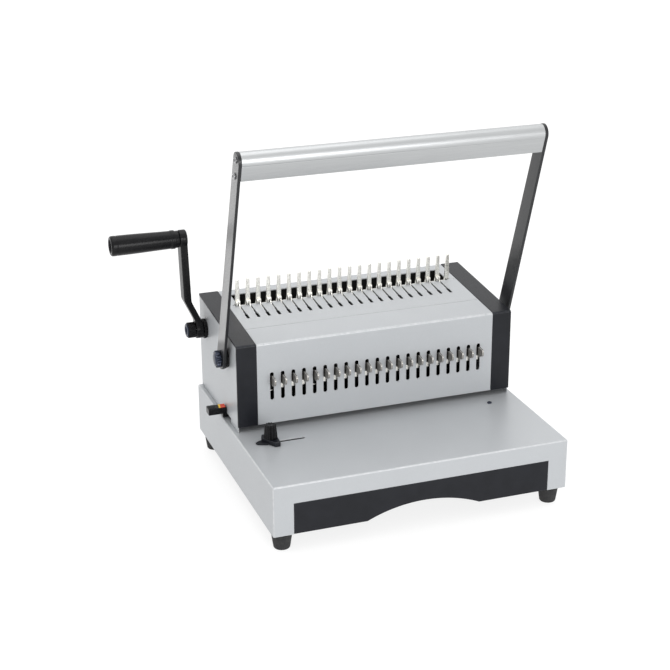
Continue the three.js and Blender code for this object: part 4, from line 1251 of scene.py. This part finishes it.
# %% Table top
table = Finish("table_top", (0.22, 0.22, 0.22), 0.7)
table.coloured(table.mix(table.spread(table.grain(900, 2.0), 0, 1), (0.21, 0.21, 0.21), (0.23, 0.23, 0.23)))
table.shader.inputs["Specular IOR Level"].default_value = 0.1
table.shader.inputs["Emission Color"].default_value = (1, 1, 1, 1)
table.shader.inputs["Emission Strength"].default_value = 0.82
shape = bmesh.new()
bmesh.ops.create_grid(shape, x_segments=8, y_segments=8, size=14)
ground = bpy.data.objects.new("table_top", tidy(shape))
ground.data.materials.append(table.material)
bpy.context.scene.collection.objects.link(ground)
ground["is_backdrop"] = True

# %% [markdown]
# The room is not equally bright all round. A white wall stands behind the machine, and its shine lies on the
# sloping top. The open side of the studio, where the camera stands, is dimmer. A dot product with one
# direction turns the world's brightness into a smooth slope from one side to the other.

# %% Room light
DIM = 0.62
BRIGHT = 1.30
room = bpy.data.worlds.new("white_room")
bpy.context.scene.world = room
room.use_nodes = True
room_nodes = room.node_tree.nodes
room_links = room.node_tree.links
room_nodes["Background"].inputs["Color"].default_value = (1, 1, 1, 1)
outlook = room_nodes.new("ShaderNodeTexCoord")
facing_wall = room_nodes.new("ShaderNodeVectorMath")
facing_wall.operation = "DOT_PRODUCT"
facing_wall.inputs[1].default_value = (0.30, 0.45, 0.85)
level_by_side = room_nodes.new("ShaderNodeMapRange")
level_by_side.inputs["From Min"].default_value = -1
level_by_side.inputs["From Max"].default_value = 1
level_by_side.inputs["To Min"].default_value = DIM
level_by_side.inputs["To Max"].default_value = BRIGHT
room_links.new(outlook.outputs["Generated"], facing_wall.inputs[0])
room_links.new(facing_wall.outputs["Value"], level_by_side.inputs["Value"])
room_links.new(level_by_side.outputs["Result"], room_nodes["Background"].inputs["Strength"])
bpy.context.scene.view_settings.view_transform = "Standard"


def lamp(name, place, size, power, target=(0, -100, 150)):
    """A soft lamp, its place and size in metres from the datum, facing a point in millimetres."""
    light = bpy.data.lights.new(name, "AREA")
    light.shape = "RECTANGLE"
    light.size, light.size_y = size
    light.energy = power
    holder = bpy.data.objects.new(name, light)
    bpy.context.scene.collection.objects.link(holder)
    aim_at = home + Vector(target) * MM
    holder.location = home + Vector(place)
    holder.rotation_euler = (aim_at - holder.location).to_track_quat("-Z", "Y").to_euler()
    return holder


lamp("overhead", (-0.1, 0.1, 2.0), (1.8, 1.2), 7)
lamp("front", (0.1, -2.5, 0.7), (1.3, 1.0), 22)

# %% [markdown]
# A flat glossy face shows what it mirrors. The outer face of the left arm mirrors the space behind it, so a
# small white card stands there. It is seen in reflections only and casts no light of its own.

# %% Card for the left arm
card = lamp("card", (-0.252, -0.056, 0.300), (0.08, 0.24), 0.09, (-198, -187, 329))
card.visible_camera = False
card.visible_diffuse = False

# %% [markdown]
# ## Measure and finish
#
# The bounds of every part that renders are measured.

# %% Measure and finish
low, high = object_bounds()
